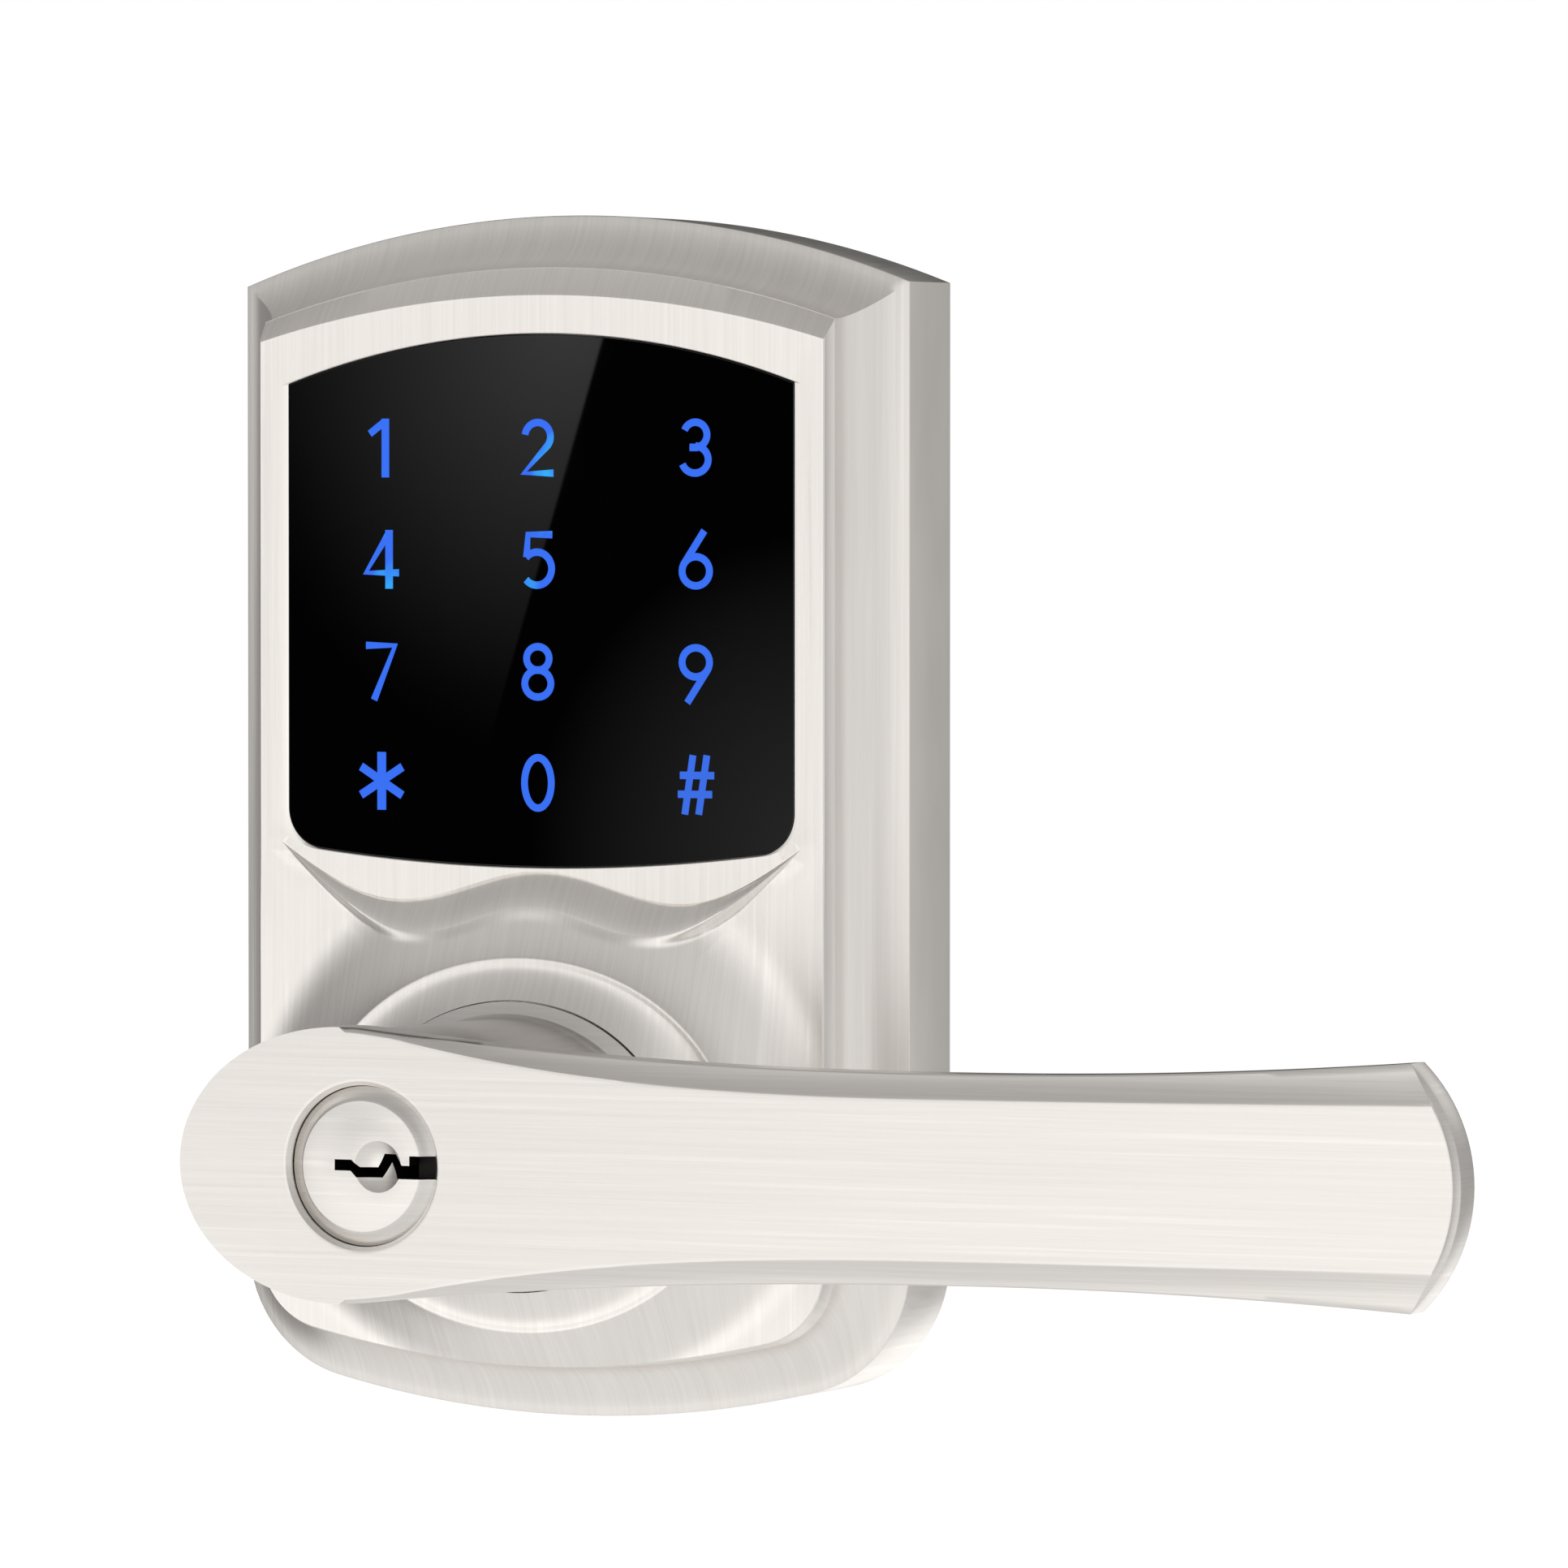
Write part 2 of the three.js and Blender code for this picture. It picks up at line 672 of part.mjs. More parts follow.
function doorGasket() {
  const holes = [
    disc(hubJournalRadius + 2, -1, 2),
    ...posts.map((place) => disc(postRadius + 1, -1, 2, place, 32)),
    ...plateScrews.map((place) => disc(plateScrewHead[0] + looseGap, -1, 2, place, 20)),
    disc(grommetBore + grommetWall + 1, -1, 2, grommetPlace, 32),
    disc(guidePinRadius + 0.8, -1, 2, guidePinPlace, 16),
  ];
  return cut(plate(plateOutline(skirtWall + looseGap), 0, gasketThickness), holes);
}

function mountPost() {
  const shoulder = insideOut - touchGap;
  return turned(
    [
      [0, postThreadDepth - postReach],
      [postThreadRadius, postThreadDepth - postReach],
      [postThreadRadius, -postReach],
      [postRadius, -postReach],
      [postRadius, shoulder],
      [postStudRadius, shoulder],
      [postStudRadius, shoulder + postStudLength],
      [0, shoulder + postStudLength],
    ],
    [0, 0],
    32,
  );
}

function cableGrommet() {
  const hole = grommetBore + grommetWall - 0.5 - fitGap;
  const lip = hole + 1;
  const back = backPlateOut - touchGap;
  const front = backPlateFront + touchGap;
  return turned(
    [
      [grommetBore, back - 0.6],
      [lip, back - 0.6],
      [lip, back],
      [hole, back],
      [hole, front],
      [lip, front],
      [lip, front + 0.9],
      [grommetBore, front + 0.9],
    ],
    [0, 0],
    32,
  );
}

function roseBush() {
  return tube(shankRadius + runGap, shankRadius + bushWall, bossInnerOut, bushFront);
}

function thrustWasher() {
  return tube(shankRadius + runGap, shankRadius + bushWall, bushFront + touchGap, washerFront);
}

function stopPin() {
  return disc(stopPinRadius, flangeOut, bossInnerOut + stopPinSeat, [0, 0], 24);
}

class TorsionCurve extends THREE.Curve {
  // Two straight legs joined by a coil about the Y axis. The angles are measured from straight down.
  constructor(fromAngle, toAngle, legReach) {
    super();
    this.legReach = legReach;
    this.fromAngle = fromAngle;
    this.sweep = toAngle - fromAngle + 2 * Math.PI * springTurns;
  }
  getPoint(t) {
    const leg = 0.08;
    const along = THREE.MathUtils.clamp((t - leg) / (1 - 2 * leg), 0, 1);
    const past = Math.max(leg - t, t - 1 + leg, 0) / leg;
    const angle = this.fromAngle + this.sweep * along;
    const radius = springRadius + (this.legReach - springRadius) * past;
    const out = flangeFront + looseGap + springWire + (springPitch * this.sweep * along) / (2 * Math.PI);
    return new THREE.Vector3(radius * Math.sin(angle), -out, -radius * Math.cos(angle));
  }
}

function returnSpring() {
  const armAngle = Math.asin((stopArmHalfWidth + springWire + looseGap) / springRadius);
  const legReach = stopArmReach - stopPinRadius;
  const pinAngle = stopAngle + Math.asin((stopPinRadius + springWire + looseGap) / legReach);
  return wire(new TorsionCurve(-armAngle, pinAngle, legReach), springWire, 76);
}

// Half height of the lever's outer edge at a place along it, right of the round end.
function leverHalf(x) {
  const lobeX = hubCentreX + 0.14 * hubHalf[0];
  const lobeHalf = hubHalf[1] * Math.sqrt(1 - ((lobeX - hubCentreX) / hubHalf[0]) ** 2);
  if (x < lobeX) return hubHalf[1] * Math.sqrt(Math.max(0, 1 - ((x - hubCentreX) / hubHalf[0]) ** 2));
  if (x < waistX) return waistHalf + (lobeHalf - waistHalf) * ((waistX - x) / (waistX - lobeX)) ** 2.26;
  return waistHalf + (tipHalf - waistHalf) * ((x - waistX) / (tipSideX - waistX)) ** 2;
}

// Half height of the lever's flat face: it splits from the outer edge beyond the hub.
function faceHalf(x) {
  const outer = leverHalf(x) - edgeRound;
  if (x < bevelStartX) return outer;
  const start = leverHalf(bevelStartX) - edgeRound;
  const tipX = leverLength - tipArcRadius + Math.sqrt(tipArcRadius ** 2 - bevelTipHalf ** 2);
  const half =
    x < waistX
      ? bevelWaistHalf + (start - bevelWaistHalf) * ((waistX - x) / (waistX - bevelStartX)) ** 2.7
      : bevelWaistHalf + (bevelTipHalf - bevelWaistHalf) * ((x - waistX) / (tipX - waistX)) ** 2;
  return Math.min(outer, half);
}

// A ring round the lever: the outer edge or the face, pulled in by an inset.
function leverRing(half, endHalf, inset, out) {
  const left = hubCentreX - hubHalf[0] + inset;
  const endX = leverLength - tipArcRadius + Math.sqrt(tipArcRadius ** 2 - endHalf ** 2);
  const upper = [];
  for (let i = 1; i <= 10; i++) {
    const turn = (Math.PI / 2) * (i / 10);
    const x = hubCentreX - (hubHalf[0] - inset) * Math.cos(turn);
    upper.push([x, (hubHalf[1] - inset) * Math.sin(turn)]);
  }
  for (let i = 1; i <= 24; i++) {
    const x = hubCentreX + (endX - hubCentreX) * (i / 24) ** 1.3;
    upper.push([x, half(x) - inset]);
  }
  const reach = tipArcRadius - inset;
  const endAngle = Math.asin((endHalf - inset) / reach);
  const end = arcPoints([leverLength - tipArcRadius, 0], reach, endAngle, -endAngle, 12).slice(1, -1);
  const lower = upper.map(([x, z]) => [x, -z]).reverse();
  return [[left, 0], ...upper, ...end, ...lower].map(([x, z]) => [x, out, z]).reverse();
}

function leverHandle() {
  const grip = loft([
    leverRing(leverHalf, tipHalf, edgeRound, leverBackOut),
    leverRing(leverHalf, tipHalf, 0, leverBackOut + edgeRound),
    leverRing(leverHalf, tipHalf, 0, leverFaceOut - bevelDepth),
    leverRing(faceHalf, bevelTipHalf, 0, leverFaceOut),
  ]);
  const depth = leverBackOut + 1 - neckOut;
  const neck = loft(
    neckSections.map(({ share, half, centreX }) =>
      ellipsePoints(half, 48, centreX).map(([x, z]) => [x, neckOut + share * depth, z]),
    ),
  );
  const mouth = plugHeadRadius + 0.7;
  const cuts = [
    cylinderSection(fitGap, cylinderBack - touchGap, plugShoulderOut),
    disc(shankRadius + fitGap, neckOut - 1, cylinderBack),
    turned([
      [0, plugShoulderOut - 1],
      [plugHeadRadius + fitGap, plugShoulderOut - 1],
      [plugHeadRadius + fitGap, leverFaceOut - 0.5],
      [mouth, leverFaceOut],
      [mouth, leverFaceOut + 1],
      [0, leverFaceOut + 1],
    ]),
    setScrewBlank(fitGap, -hubHalf[1] - 4, -shankRadius),
  ];
  return cut(grip.add(neck), cuts);
}

// The cylinder's outline, a round barrel with the pin housing on its left, grown by a gap.
function cylinderSection(gap, fromOut, toOut) {
  const barrel = disc(barrelRadius + gap, fromOut, toOut);
  const halfZ = bibleHalfWidth + gap;
  return barrel.add(block([-bibleReach - gap, fromOut, -halfZ], [0, toOut, halfZ]));
}

function setScrewBlank(gap, fromZ, toZ) {
  const geometry = new THREE.CylinderGeometry(setScrewRadius + gap, setScrewRadius + gap, toZ - fromZ, 20);
  return solidOf(geometry.rotateX(Math.PI / 2).translate(0, -setScrewOut, (fromZ + toZ) / 2));
}

function setScrew() {
  const inner = -shankRadius - touchGap;
  const screw = setScrewBlank(0, inner - setScrewLength, inner);
  const socket = new THREE.CylinderGeometry(1.45, 1.45, 2.4, 6).rotateX(Math.PI / 2);
  return screw.subtract(solidOf(socket.translate(0, -setScrewOut, inner - setScrewLength + 1)));
}

function leverShank() {
  const shank = turned([
    [shankBore, hubOut + hubThickness + looseGap],
    [driveRadius, hubOut + hubThickness + looseGap],
    [driveRadius, flangeOut],
    [flangeRadius, flangeOut],
    [flangeRadius, flangeFront],
    [shankRadius, flangeFront],
    [shankRadius, shankFront],
    [shankCupRadius, shankFront],
    [shankCupRadius, shankFront - cupDepth],
    [shankBore, shankFront - cupDepth],
  ]);
  const beyond = driveRadius + 1;
  const flats = [-1, 1].map((side) =>
    block([-beyond, 0, side * driveFlatHalf], [beyond, flangeOut, side * beyond]),
  );
  const armHalf = stopArmHalfWidth;
  const arm = block([-armHalf, flangeOut, -stopArmReach], [armHalf, flangeFront, -shankRadius - 1]);
  const lugInner = springRadius + springWire + looseGap;
  const lug = block([-armHalf, flangeOut, -stopArmReach], [armHalf, springFront, -lugInner]);
  return cut(shank, flats).add(arm).add(lug);
}

const firstPinOut = cylinderFront - firstPinDepth;
const pinPlaces = Array.from({ length: pinCount }, (_, i) => firstPinOut - i * pinPitch);

// A round bar along X between two places, out from the door by a given distance.
function crossBar(radius, fromX, toX, out = 0) {
  const geometry = new THREE.CylinderGeometry(radius, radius, Math.abs(toX - fromX), 16);
  return solidOf(geometry.rotateZ(Math.PI / 2).translate((fromX + toX) / 2, -out, 0));
}

function cylinderShell() {
  const bores = pinPlaces.map((out) => crossBar(pinRadius + runGap, -bibleReach + bibleCap, 0, out));
  const plugBore = disc(plugRadius + runGap, 0, leverFaceOut);
  return cut(cylinderSection(0, cylinderBack, cylinderFront), [plugBore, ...bores]);
}

// The key's way in: a stepped slot that is open at the plug's right edge.
function keyway(fromOut, toOut) {
  const edge = plugHeadRadius + 1;
  return plate([...keywayUpper, [edge, keywayHalf], [edge, -keywayHalf], ...keywayLower], fromOut, toOut);
}

const plugTailOut = cylinderBack - clipThickness - 1.2;

function cylinderPlug() {
  const face = leverFaceOut;
  const clipBack = cylinderBack - touchGap - clipThickness;
  const body = turned([
    [0, plugTailOut],
    [plugRadius, plugTailOut],
    [plugRadius, clipBack - touchGap],
    [plugRadius - clipGroove, clipBack - touchGap],
    [plugRadius - clipGroove, cylinderBack - touchGap],
    [plugRadius, cylinderBack - touchGap],
    [plugRadius, plugShoulderOut],
    [plugHeadRadius, plugShoulderOut],
    [plugHeadRadius, face - plugBevelDepth],
    [plugFaceRadius, face],
    [0, face],
  ]);
  const hollow = new THREE.SphereGeometry(dimple.radius, 24, 12);
  const slotX = tailWidth / 2 + fitGap;
  const slotZ = tailThickness / 2 + fitGap;
  return cut(body, [
    keyway(cylinderBack + 3, face + 1),
    solidOf(hollow.translate(dimple.x, dimple.depth - dimple.radius - face, 0)),
    block([-slotX, plugTailOut - 1, -slotZ], [slotX, cylinderBack + tailSeat + touchGap, slotZ]),
    ...pinPlaces.map((out) => crossBar(pinRadius + runGap, -plugRadius - 1, -1.9, out)),
  ]);
}

const shearInner = Math.sqrt(plugRadius ** 2 - pinRadius ** 2) - runGap;
const shearOuter = plugRadius + 2 * runGap;

function keyPin(length) {
  const tip = new THREE.ConeGeometry(pinRadius, keyPinTip, 16).rotateZ(-Math.PI / 2);
  const bar = crossBar(pinRadius, -shearInner, -shearInner + length - keyPinTip);
  return bar.add(solidOf(tip.translate(-shearInner + length - keyPinTip / 2, 0, 0)));
}

function driverPin() {
  return crossBar(pinRadius, -shearOuter - driverPinLength, -shearOuter);
}

class CoilCurve extends THREE.Curve {
  constructor(fromX, toX, radius) {
    super();
    Object.assign(this, { fromX, toX, radius });
  }
  getPoint(t) {
    const angle = 2 * Math.PI * pinSpringTurns * t;
    const x = this.fromX + (this.toX - this.fromX) * t;
    return new THREE.Vector3(x, this.radius * Math.cos(angle), this.radius * Math.sin(angle));
  }
}

function pinSpring() {
  const margin = pinSpringWire + 0.1;
  const fromX = -shearOuter - driverPinLength - margin;
  const toX = -bibleReach + bibleCap + margin;
  return wire(new CoilCurve(fromX, toX, pinRadius - pinSpringWire - 0.1), pinSpringWire, 26, 4);
}

function plugClip() {
  const back = cylinderBack - touchGap - clipThickness;
  const front = back + clipThickness - touchGap;
  const ring = tube(plugRadius - clipGroove + fitGap, plugRadius + clipRim, back, front, [0, 0], 36);
  return ring.subtract(block([0, 0, -3], [plugRadius + 3, leverFaceOut, 3]));
}

function tailpiece() {
  const halfX = tailWidth / 2;
  const halfZ = tailThickness / 2;
  return block([-halfX, hubFront - hubRecess + looseGap, -halfZ], [halfX, cylinderBack + tailSeat, halfZ]);
}

// The two notches in the drive hub and the two dogs of the sleeve that fill them, on the X axis.
function dogs(gap, inner, outer, fromOut, toOut) {
  const bar = block([-outer, fromOut, -dogHalfWidth - gap], [outer, toOut, dogHalfWidth + gap]);
  return bar.intersect(tube(inner, outer, fromOut, toOut));
}

// The key's own way to turn the hub: a recess that leaves the tailpiece a quarter turn of free play.
function tailRecess() {
  const radius = tailWidth / 2 + 0.5;
  const half = tailThickness / 2 + fitGap;
  const from = hubFront - hubRecess;
  const to = hubFront + 1;
  const quarter = Math.PI / 2;
  const wedge = (turn) => plate([[0, 0], ...arcPoints([0, 0], radius, turn - quarter, turn, 8)], from, to);
  const along = block([-radius, from, -half], [radius, to, half]);
  const across = block([-half, from, -radius], [half, to, radius]);
  const round = disc(radius, from, to, [0, 0], 32);
  return along.add(across).intersect(round).add(wedge(0)).add(wedge(Math.PI));
}

function driveHub() {
  const journalOut = gasketThickness - 0.4;
  const body = turned([
    [0, journalOut],
    [hubJournalRadius, journalOut],
    [hubJournalRadius, hubOut],
    [hubRadius, hubOut],
    [hubRadius, hubFront],
    [0, hubFront],
  ]);
  const half = spindleSide / 2 + fitGap;
  const socket = block([-half, 0, -half], [half, hubFront - hubRecess - 1, half]);
  const notchInner = driveRadius + dogInset - looseGap;
  const notches = dogs(looseGap, notchInner, hubRadius + 1, hubFront - dogDepth - looseGap, hubFront + 1);
  return cut(body, [socket, notches, tailRecess()]);
}

function clutchSleeve() {
  const grooveRadius = sleeveRadius - grooveDepth;
  const body = turned([
    [driveRadius + runGap, sleeveOut],
    [sleeveRadius, sleeveOut],
    [sleeveRadius, sleeveGrooveOut],
    [grooveRadius, sleeveGrooveOut],
    [grooveRadius, sleeveGrooveOut + forkThickness + 0.2],
    [sleeveRadius, sleeveGrooveOut + forkThickness + 0.2],
    [sleeveRadius, sleeveFront],
    [driveRadius + runGap, sleeveFront],
  ]);
  const keys = [-1, 1].map((side) => {
    const inner = side * (driveFlatHalf + runGap);
    const key = block([-driveRadius, sleeveOut, inner], [driveRadius, sleeveFront, side * (driveRadius + 1)]);
    return key.intersect(disc(driveRadius + 1, sleeveOut, sleeveFront));
  });
  const teeth = dogs(0, driveRadius + dogInset, sleeveRadius, hubFront - dogDepth, sleeveOut + 0.5);
  return keys.reduce((joined, key) => joined.add(key), body).add(teeth);
}

const motorPlace = [0, motorHeight];
const guidePinPlace = [guidePinOffset, motorHeight];

function clutchFork() {
  const inner = sleeveRadius - grooveDepth + 2 * runGap;
  const outer = inner + yokeWidth;
  const spread = degrees(yokeHalfAngle);
  const up = Math.PI / 2;
  const yoke = [
    ...arcPoints([0, 0], inner, up - spread, up + spread, 20),
    ...arcPoints([0, 0], outer, up + spread, up - spread, 20),
  ];
  const from = sleeveGrooveOut + 0.1;
  const to = from + forkThickness;
  const stem = block([-nutHalf, from, outer - 1], [nutHalf, to, motorHeight]);
  const nutTop = motorHeight + nutHalf;
  const nut = block([-nutHalf, from, motorHeight - nutHalf], [nutHalf, from + nutLength, nutTop]);
  const earX = guidePinOffset + earRadius;
  const ear = block([0, from, motorHeight - earRadius], [earX, to, motorHeight + earRadius]);
  return cut(plate(yoke, from, to).add(stem).add(nut).add(ear), [
    disc(motorScrewRadius + runGap, 0, panelOut, motorPlace, 32),
    disc(guidePinRadius + runGap, 0, panelOut, guidePinPlace, 32),
  ]);
}

function forkGuidePin() {
  return disc(guidePinRadius, backPlateOut, faceInnerOut - looseGap, [0, 0], 32);
}

const motorFront = insideOut + motorLength;

function clutchMotor() {
  const can = disc(motorRadius, insideOut, motorFront, [0, 0], 40);
  return can.add(disc(motorNoseRadius, motorFront - 0.5, motorFront + motorNose, [0, 0], 24));
}

function motorBracket() {
  const inner = motorRadius + fitGap;
  const outer = inner + bracketWall;
  const foot = block([-outer - bracketFoot, insideOut, -3], [outer, insideOut + bracketWall, 3]);
  const ring = disc(outer, insideOut, insideOut + bracketLength, [0, 0], 40).add(foot);
  const pin = disc(guidePinRadius + looseGap, 0, panelOut, [guidePinOffset, 0], 16);
  return cut(ring, [disc(inner, 0, panelOut, [0, 0], 40), pin]);
}

function motorScrew() {
  const from = motorFront + motorNose + looseGap;
  const front = sleeveGrooveOut + nutLength + sleeveTravel + 1;
  return disc(motorScrewRadius, from, Math.min(front, faceInnerOut - looseGap), [0, 0], 32);
}

function spindle() {
  const half = spindleSide / 2;
  return block([-half, -spindleReach, -half], [half, hubFront - hubRecess - 1 - touchGap, half]);
}

// Finishes: colour, roughness and metalness
const finishes = {
  satinNickel: { color: 0xd8d3cb, roughness: 0.34, metalness: 1 },
  blackGlass: { color: 0x050506, roughness: 0.06, metalness: 0 },
  blackRubber: { color: 0x1a1a1a, roughness: 0.85, metalness: 0 },
  frostedPlastic: { color: 0xdfe3e8, roughness: 0.5, metalness: 0 },
  circuitBoard: { color: 0x14522c, roughness: 0.45, metalness: 0 },
  blackPlastic: { color: 0x1f1f21, roughness: 0.6, metalness: 0 },
  whitePlastic: { color: 0xe6e4da, roughness: 0.55, metalness: 0 },
  zincSteel: { color: 0xc6c8ca, roughness: 0.35, metalness: 1 },
  plateSteel: { color: 0xa6a6a8, roughness: 0.45, metalness: 1 },
  brass: { color: 0xc9a455, roughness: 0.35, metalness: 1 },
  springSteel: { color: 0x8c8c90, roughness: 0.4, metalness: 1 },
};

function groupIn(parent, name) {
  const group = new THREE.Group();
  group.name = name;
  parent.add(group);
  return group;
}

// A solid as a named mesh in a group, moved to [x, out, z].
function put(group, name, solid, finish, [x, out, z] = [0, 0, 0]) {
  const made = solid.getMesh();
  const geometry = new THREE.BufferGeometry();
  geometry.setAttribute("position", new THREE.Float32BufferAttribute(made.vertProperties, 3));
  geometry.setIndex(Array.from(made.triVerts));
  const mesh = new THREE.Mesh(geometry, new THREE.MeshStandardMaterial(finish));
  mesh.name = name;
  mesh.position.set(x, -out, z);
  group.add(mesh);
}

const lock = new THREE.Group();
lock.name = "keypad_smart_lock";

const escutcheon = groupIn(lock, "escutcheon");
put(escutcheon, "escutcheon_housing", escutcheonHousing(), finishes.satinNickel);
put(escutcheon, "rose_bush", roseBush(), finishes.brass);
put(escutcheon, "thrust_washer", thrustWasher(), finishes.whitePlastic);
stopPins.forEach(([x, z], i) => {
  put(escutcheon, ["stop_pin_rest", "stop_pin_end"][i], stopPin(), finishes.zincSteel, [x, 0, z]);
});
put(escutcheon, "return_spring", returnSpring(), finishes.springSteel);

const touchPanel = groupIn(escutcheon, "touch_panel");
const panelMiddleZ = (boardBottomZ + boardTopZ) / 2;
const socketAt = [socketPlace[0], controlBoardOut - touchGap, boardBottomZ + socketPlace[1]];
const buzzerAt = [buzzerX, controlBoardFront + touchGap, panelMiddleZ];
put(touchPanel, "touch_glass", touchGlass(), finishes.blackGlass);
put(touchPanel, "glass_seal", glassSeal(), finishes.blackRubber);
put(touchPanel, "light_guide", lightGuide(), finishes.frostedPlastic);
put(touchPanel, "sensor_board", sensorBoard(), finishes.circuitBoard);
put(touchPanel, "board_carrier", boardCarrier(), finishes.blackPlastic);
put(touchPanel, "control_board", controlBoard(), finishes.circuitBoard);
put(touchPanel, "buzzer", buzzer(), finishes.blackPlastic, buzzerAt);
put(touchPanel, "harness_socket", harnessSocket(), finishes.whitePlastic, socketAt);
standoffs.forEach(([x, z], i) => {
  const made = screw(boardScrewHead, boardScrewRadius, boardScrewLength);
  put(touchPanel, "board_screw_" + (i + 1), made, finishes.zincSteel, [x, controlBoardOut - touchGap, z]);
});

const back = groupIn(escutcheon, "back");
put(back, "back_plate", backPlate(), finishes.plateSteel);
put(back, "door_gasket", doorGasket(), finishes.blackRubber);
plateScrews.forEach(([x, z], i) => {
  const made = screw(plateScrewHead, plateScrewRadius, plateScrewLength + backPlateThickness);
  put(back, "plate_screw_" + (i + 1), made, finishes.zincSteel, [x, backPlateOut - touchGap, z]);
});
posts.forEach(([x, z], i) => {
  put(back, ["mount_post_left", "mount_post_right"][i], mountPost(), finishes.zincSteel, [x, 0, z]);
});
put(back, "cable_grommet", cableGrommet(), finishes.blackRubber, [grommetPlace[0], 0, grommetPlace[1]]);

const lever = groupIn(lock, "lever");
put(lever, "lever_handle", leverHandle(), finishes.satinNickel);
put(lever, "set_screw", setScrew(), finishes.zincSteel);
put(lever, "lever_shank", leverShank(), finishes.plateSteel);

const cylinder = groupIn(lever, "key_cylinder");
put(cylinder, "cylinder_shell", cylinderShell(), finishes.brass);
pinPlaces.forEach((out, i) => {
  put(cylinder, "driver_pin_" + (i + 1), driverPin(), finishes.brass, [0, out, 0]);
  put(cylinder, "pin_spring_" + (i + 1), pinSpring(), finishes.springSteel, [0, out, 0]);
  put(cylinder, "key_pin_" + (i + 1), keyPin(keyPinLengths[i]), finishes.brass, [0, out, 0]);
});
put(cylinder, "cylinder_plug", cylinderPlug(), finishes.satinNickel);
put(cylinder, "plug_clip", plugClip(), finishes.springSteel);
put(cylinder, "tailpiece", tailpiece(), finishes.plateSteel);

const clutch = groupIn(lock, "clutch");
put(clutch, "clutch_sleeve", clutchSleeve(), finishes.plateSteel);
put(clutch, "clutch_fork", clutchFork(), finishes.whitePlastic);
put(clutch, "fork_guide_pin", forkGuidePin(), finishes.zincSteel, [guidePinOffset, 0, motorHeight]);
put(clutch, "clutch_motor", clutchMotor(), finishes.zincSteel, [0, 0, motorHeight]);
put(clutch, "motor_bracket", motorBracket(), finishes.plateSteel, [0, 0, motorHeight]);
put(clutch, "motor_screw", motorScrew(), finishes.brass, [0, 0, motorHeight]);
put(clutch, "drive_hub", driveHub(), finishes.plateSteel);
put(clutch, "spindle", spindle(), finishes.plateSteel);

export default lock;
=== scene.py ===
import json
import math

import bmesh
import bpy
from mathutils import Matrix, Vector


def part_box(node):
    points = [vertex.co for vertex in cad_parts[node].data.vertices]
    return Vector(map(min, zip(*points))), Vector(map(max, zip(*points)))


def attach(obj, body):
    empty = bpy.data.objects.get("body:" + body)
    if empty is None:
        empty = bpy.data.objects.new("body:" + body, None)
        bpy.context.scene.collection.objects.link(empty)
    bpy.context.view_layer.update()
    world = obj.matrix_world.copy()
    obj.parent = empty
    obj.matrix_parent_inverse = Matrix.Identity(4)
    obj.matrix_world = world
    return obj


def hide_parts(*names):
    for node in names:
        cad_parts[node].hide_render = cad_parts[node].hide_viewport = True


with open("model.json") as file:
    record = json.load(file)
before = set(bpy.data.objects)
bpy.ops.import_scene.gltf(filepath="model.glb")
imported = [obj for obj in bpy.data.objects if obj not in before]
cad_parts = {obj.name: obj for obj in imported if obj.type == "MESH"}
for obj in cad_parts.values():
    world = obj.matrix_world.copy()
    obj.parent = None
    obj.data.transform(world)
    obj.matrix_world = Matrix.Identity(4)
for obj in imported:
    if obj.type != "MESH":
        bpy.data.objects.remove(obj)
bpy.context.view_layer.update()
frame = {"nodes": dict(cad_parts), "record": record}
mm = 0.001
smoothAngle = 24


def boxInMm(node):
    low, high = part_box(node)
    return low / mm, high / mm


housingLow, housingHigh = boxInMm("escutcheon_housing")
glassLow, glassHigh = boxInMm("touch_glass")
leverLow, leverHigh = boxInMm("lever_handle")
plugLow, plugHigh = boxInMm("cylinder_plug")
hubRadius = boxInMm("rose_bush")[1].x


# A smooth step from 0 at one value to 1 at another.
def blendOf(start, end, value):
    share = min(1, max(0, (value - start) / (end - start)))
    return share * share * (3 - 2 * share)


def radiusOfRise(half, rise):
    return (half * half + rise * rise) / (2 * rise)


def arc(centre, radius, start, end, steps):
    turn = [start + (end - start) * i / steps for i in range(steps + 1)]
    return [(centre[0] + radius * math.cos(t), centre[1] + radius * math.sin(t)) for t in turn]


def ellipse(halfX, halfZ, steps, centreX=0):
    turn = [2 * math.pi * i / steps for i in range(steps)]
    return [(centreX + halfX * math.cos(t), halfZ * math.sin(t)) for t in turn]


def circle(radius, steps):
    return ellipse(radius, radius, steps)


# Everything is modelled in millimetres, and "out" is the distance from the door.
def joinedEdges(bm, verts, closed=True):
    pairs = list(zip(verts, verts[1:] + verts[:1])) if closed else list(zip(verts, verts[1:]))
    return [bm.edges.get(pair) or bm.edges.new(pair) for pair in pairs]


def newLoop(bm, points, out, closed=True):
    outs = out if isinstance(out, list) else [out] * len(points)
    verts = [bm.verts.new((x, -o, z)) for (x, z), o in zip(points, outs)]
    joinedEdges(bm, verts, closed)
    return verts


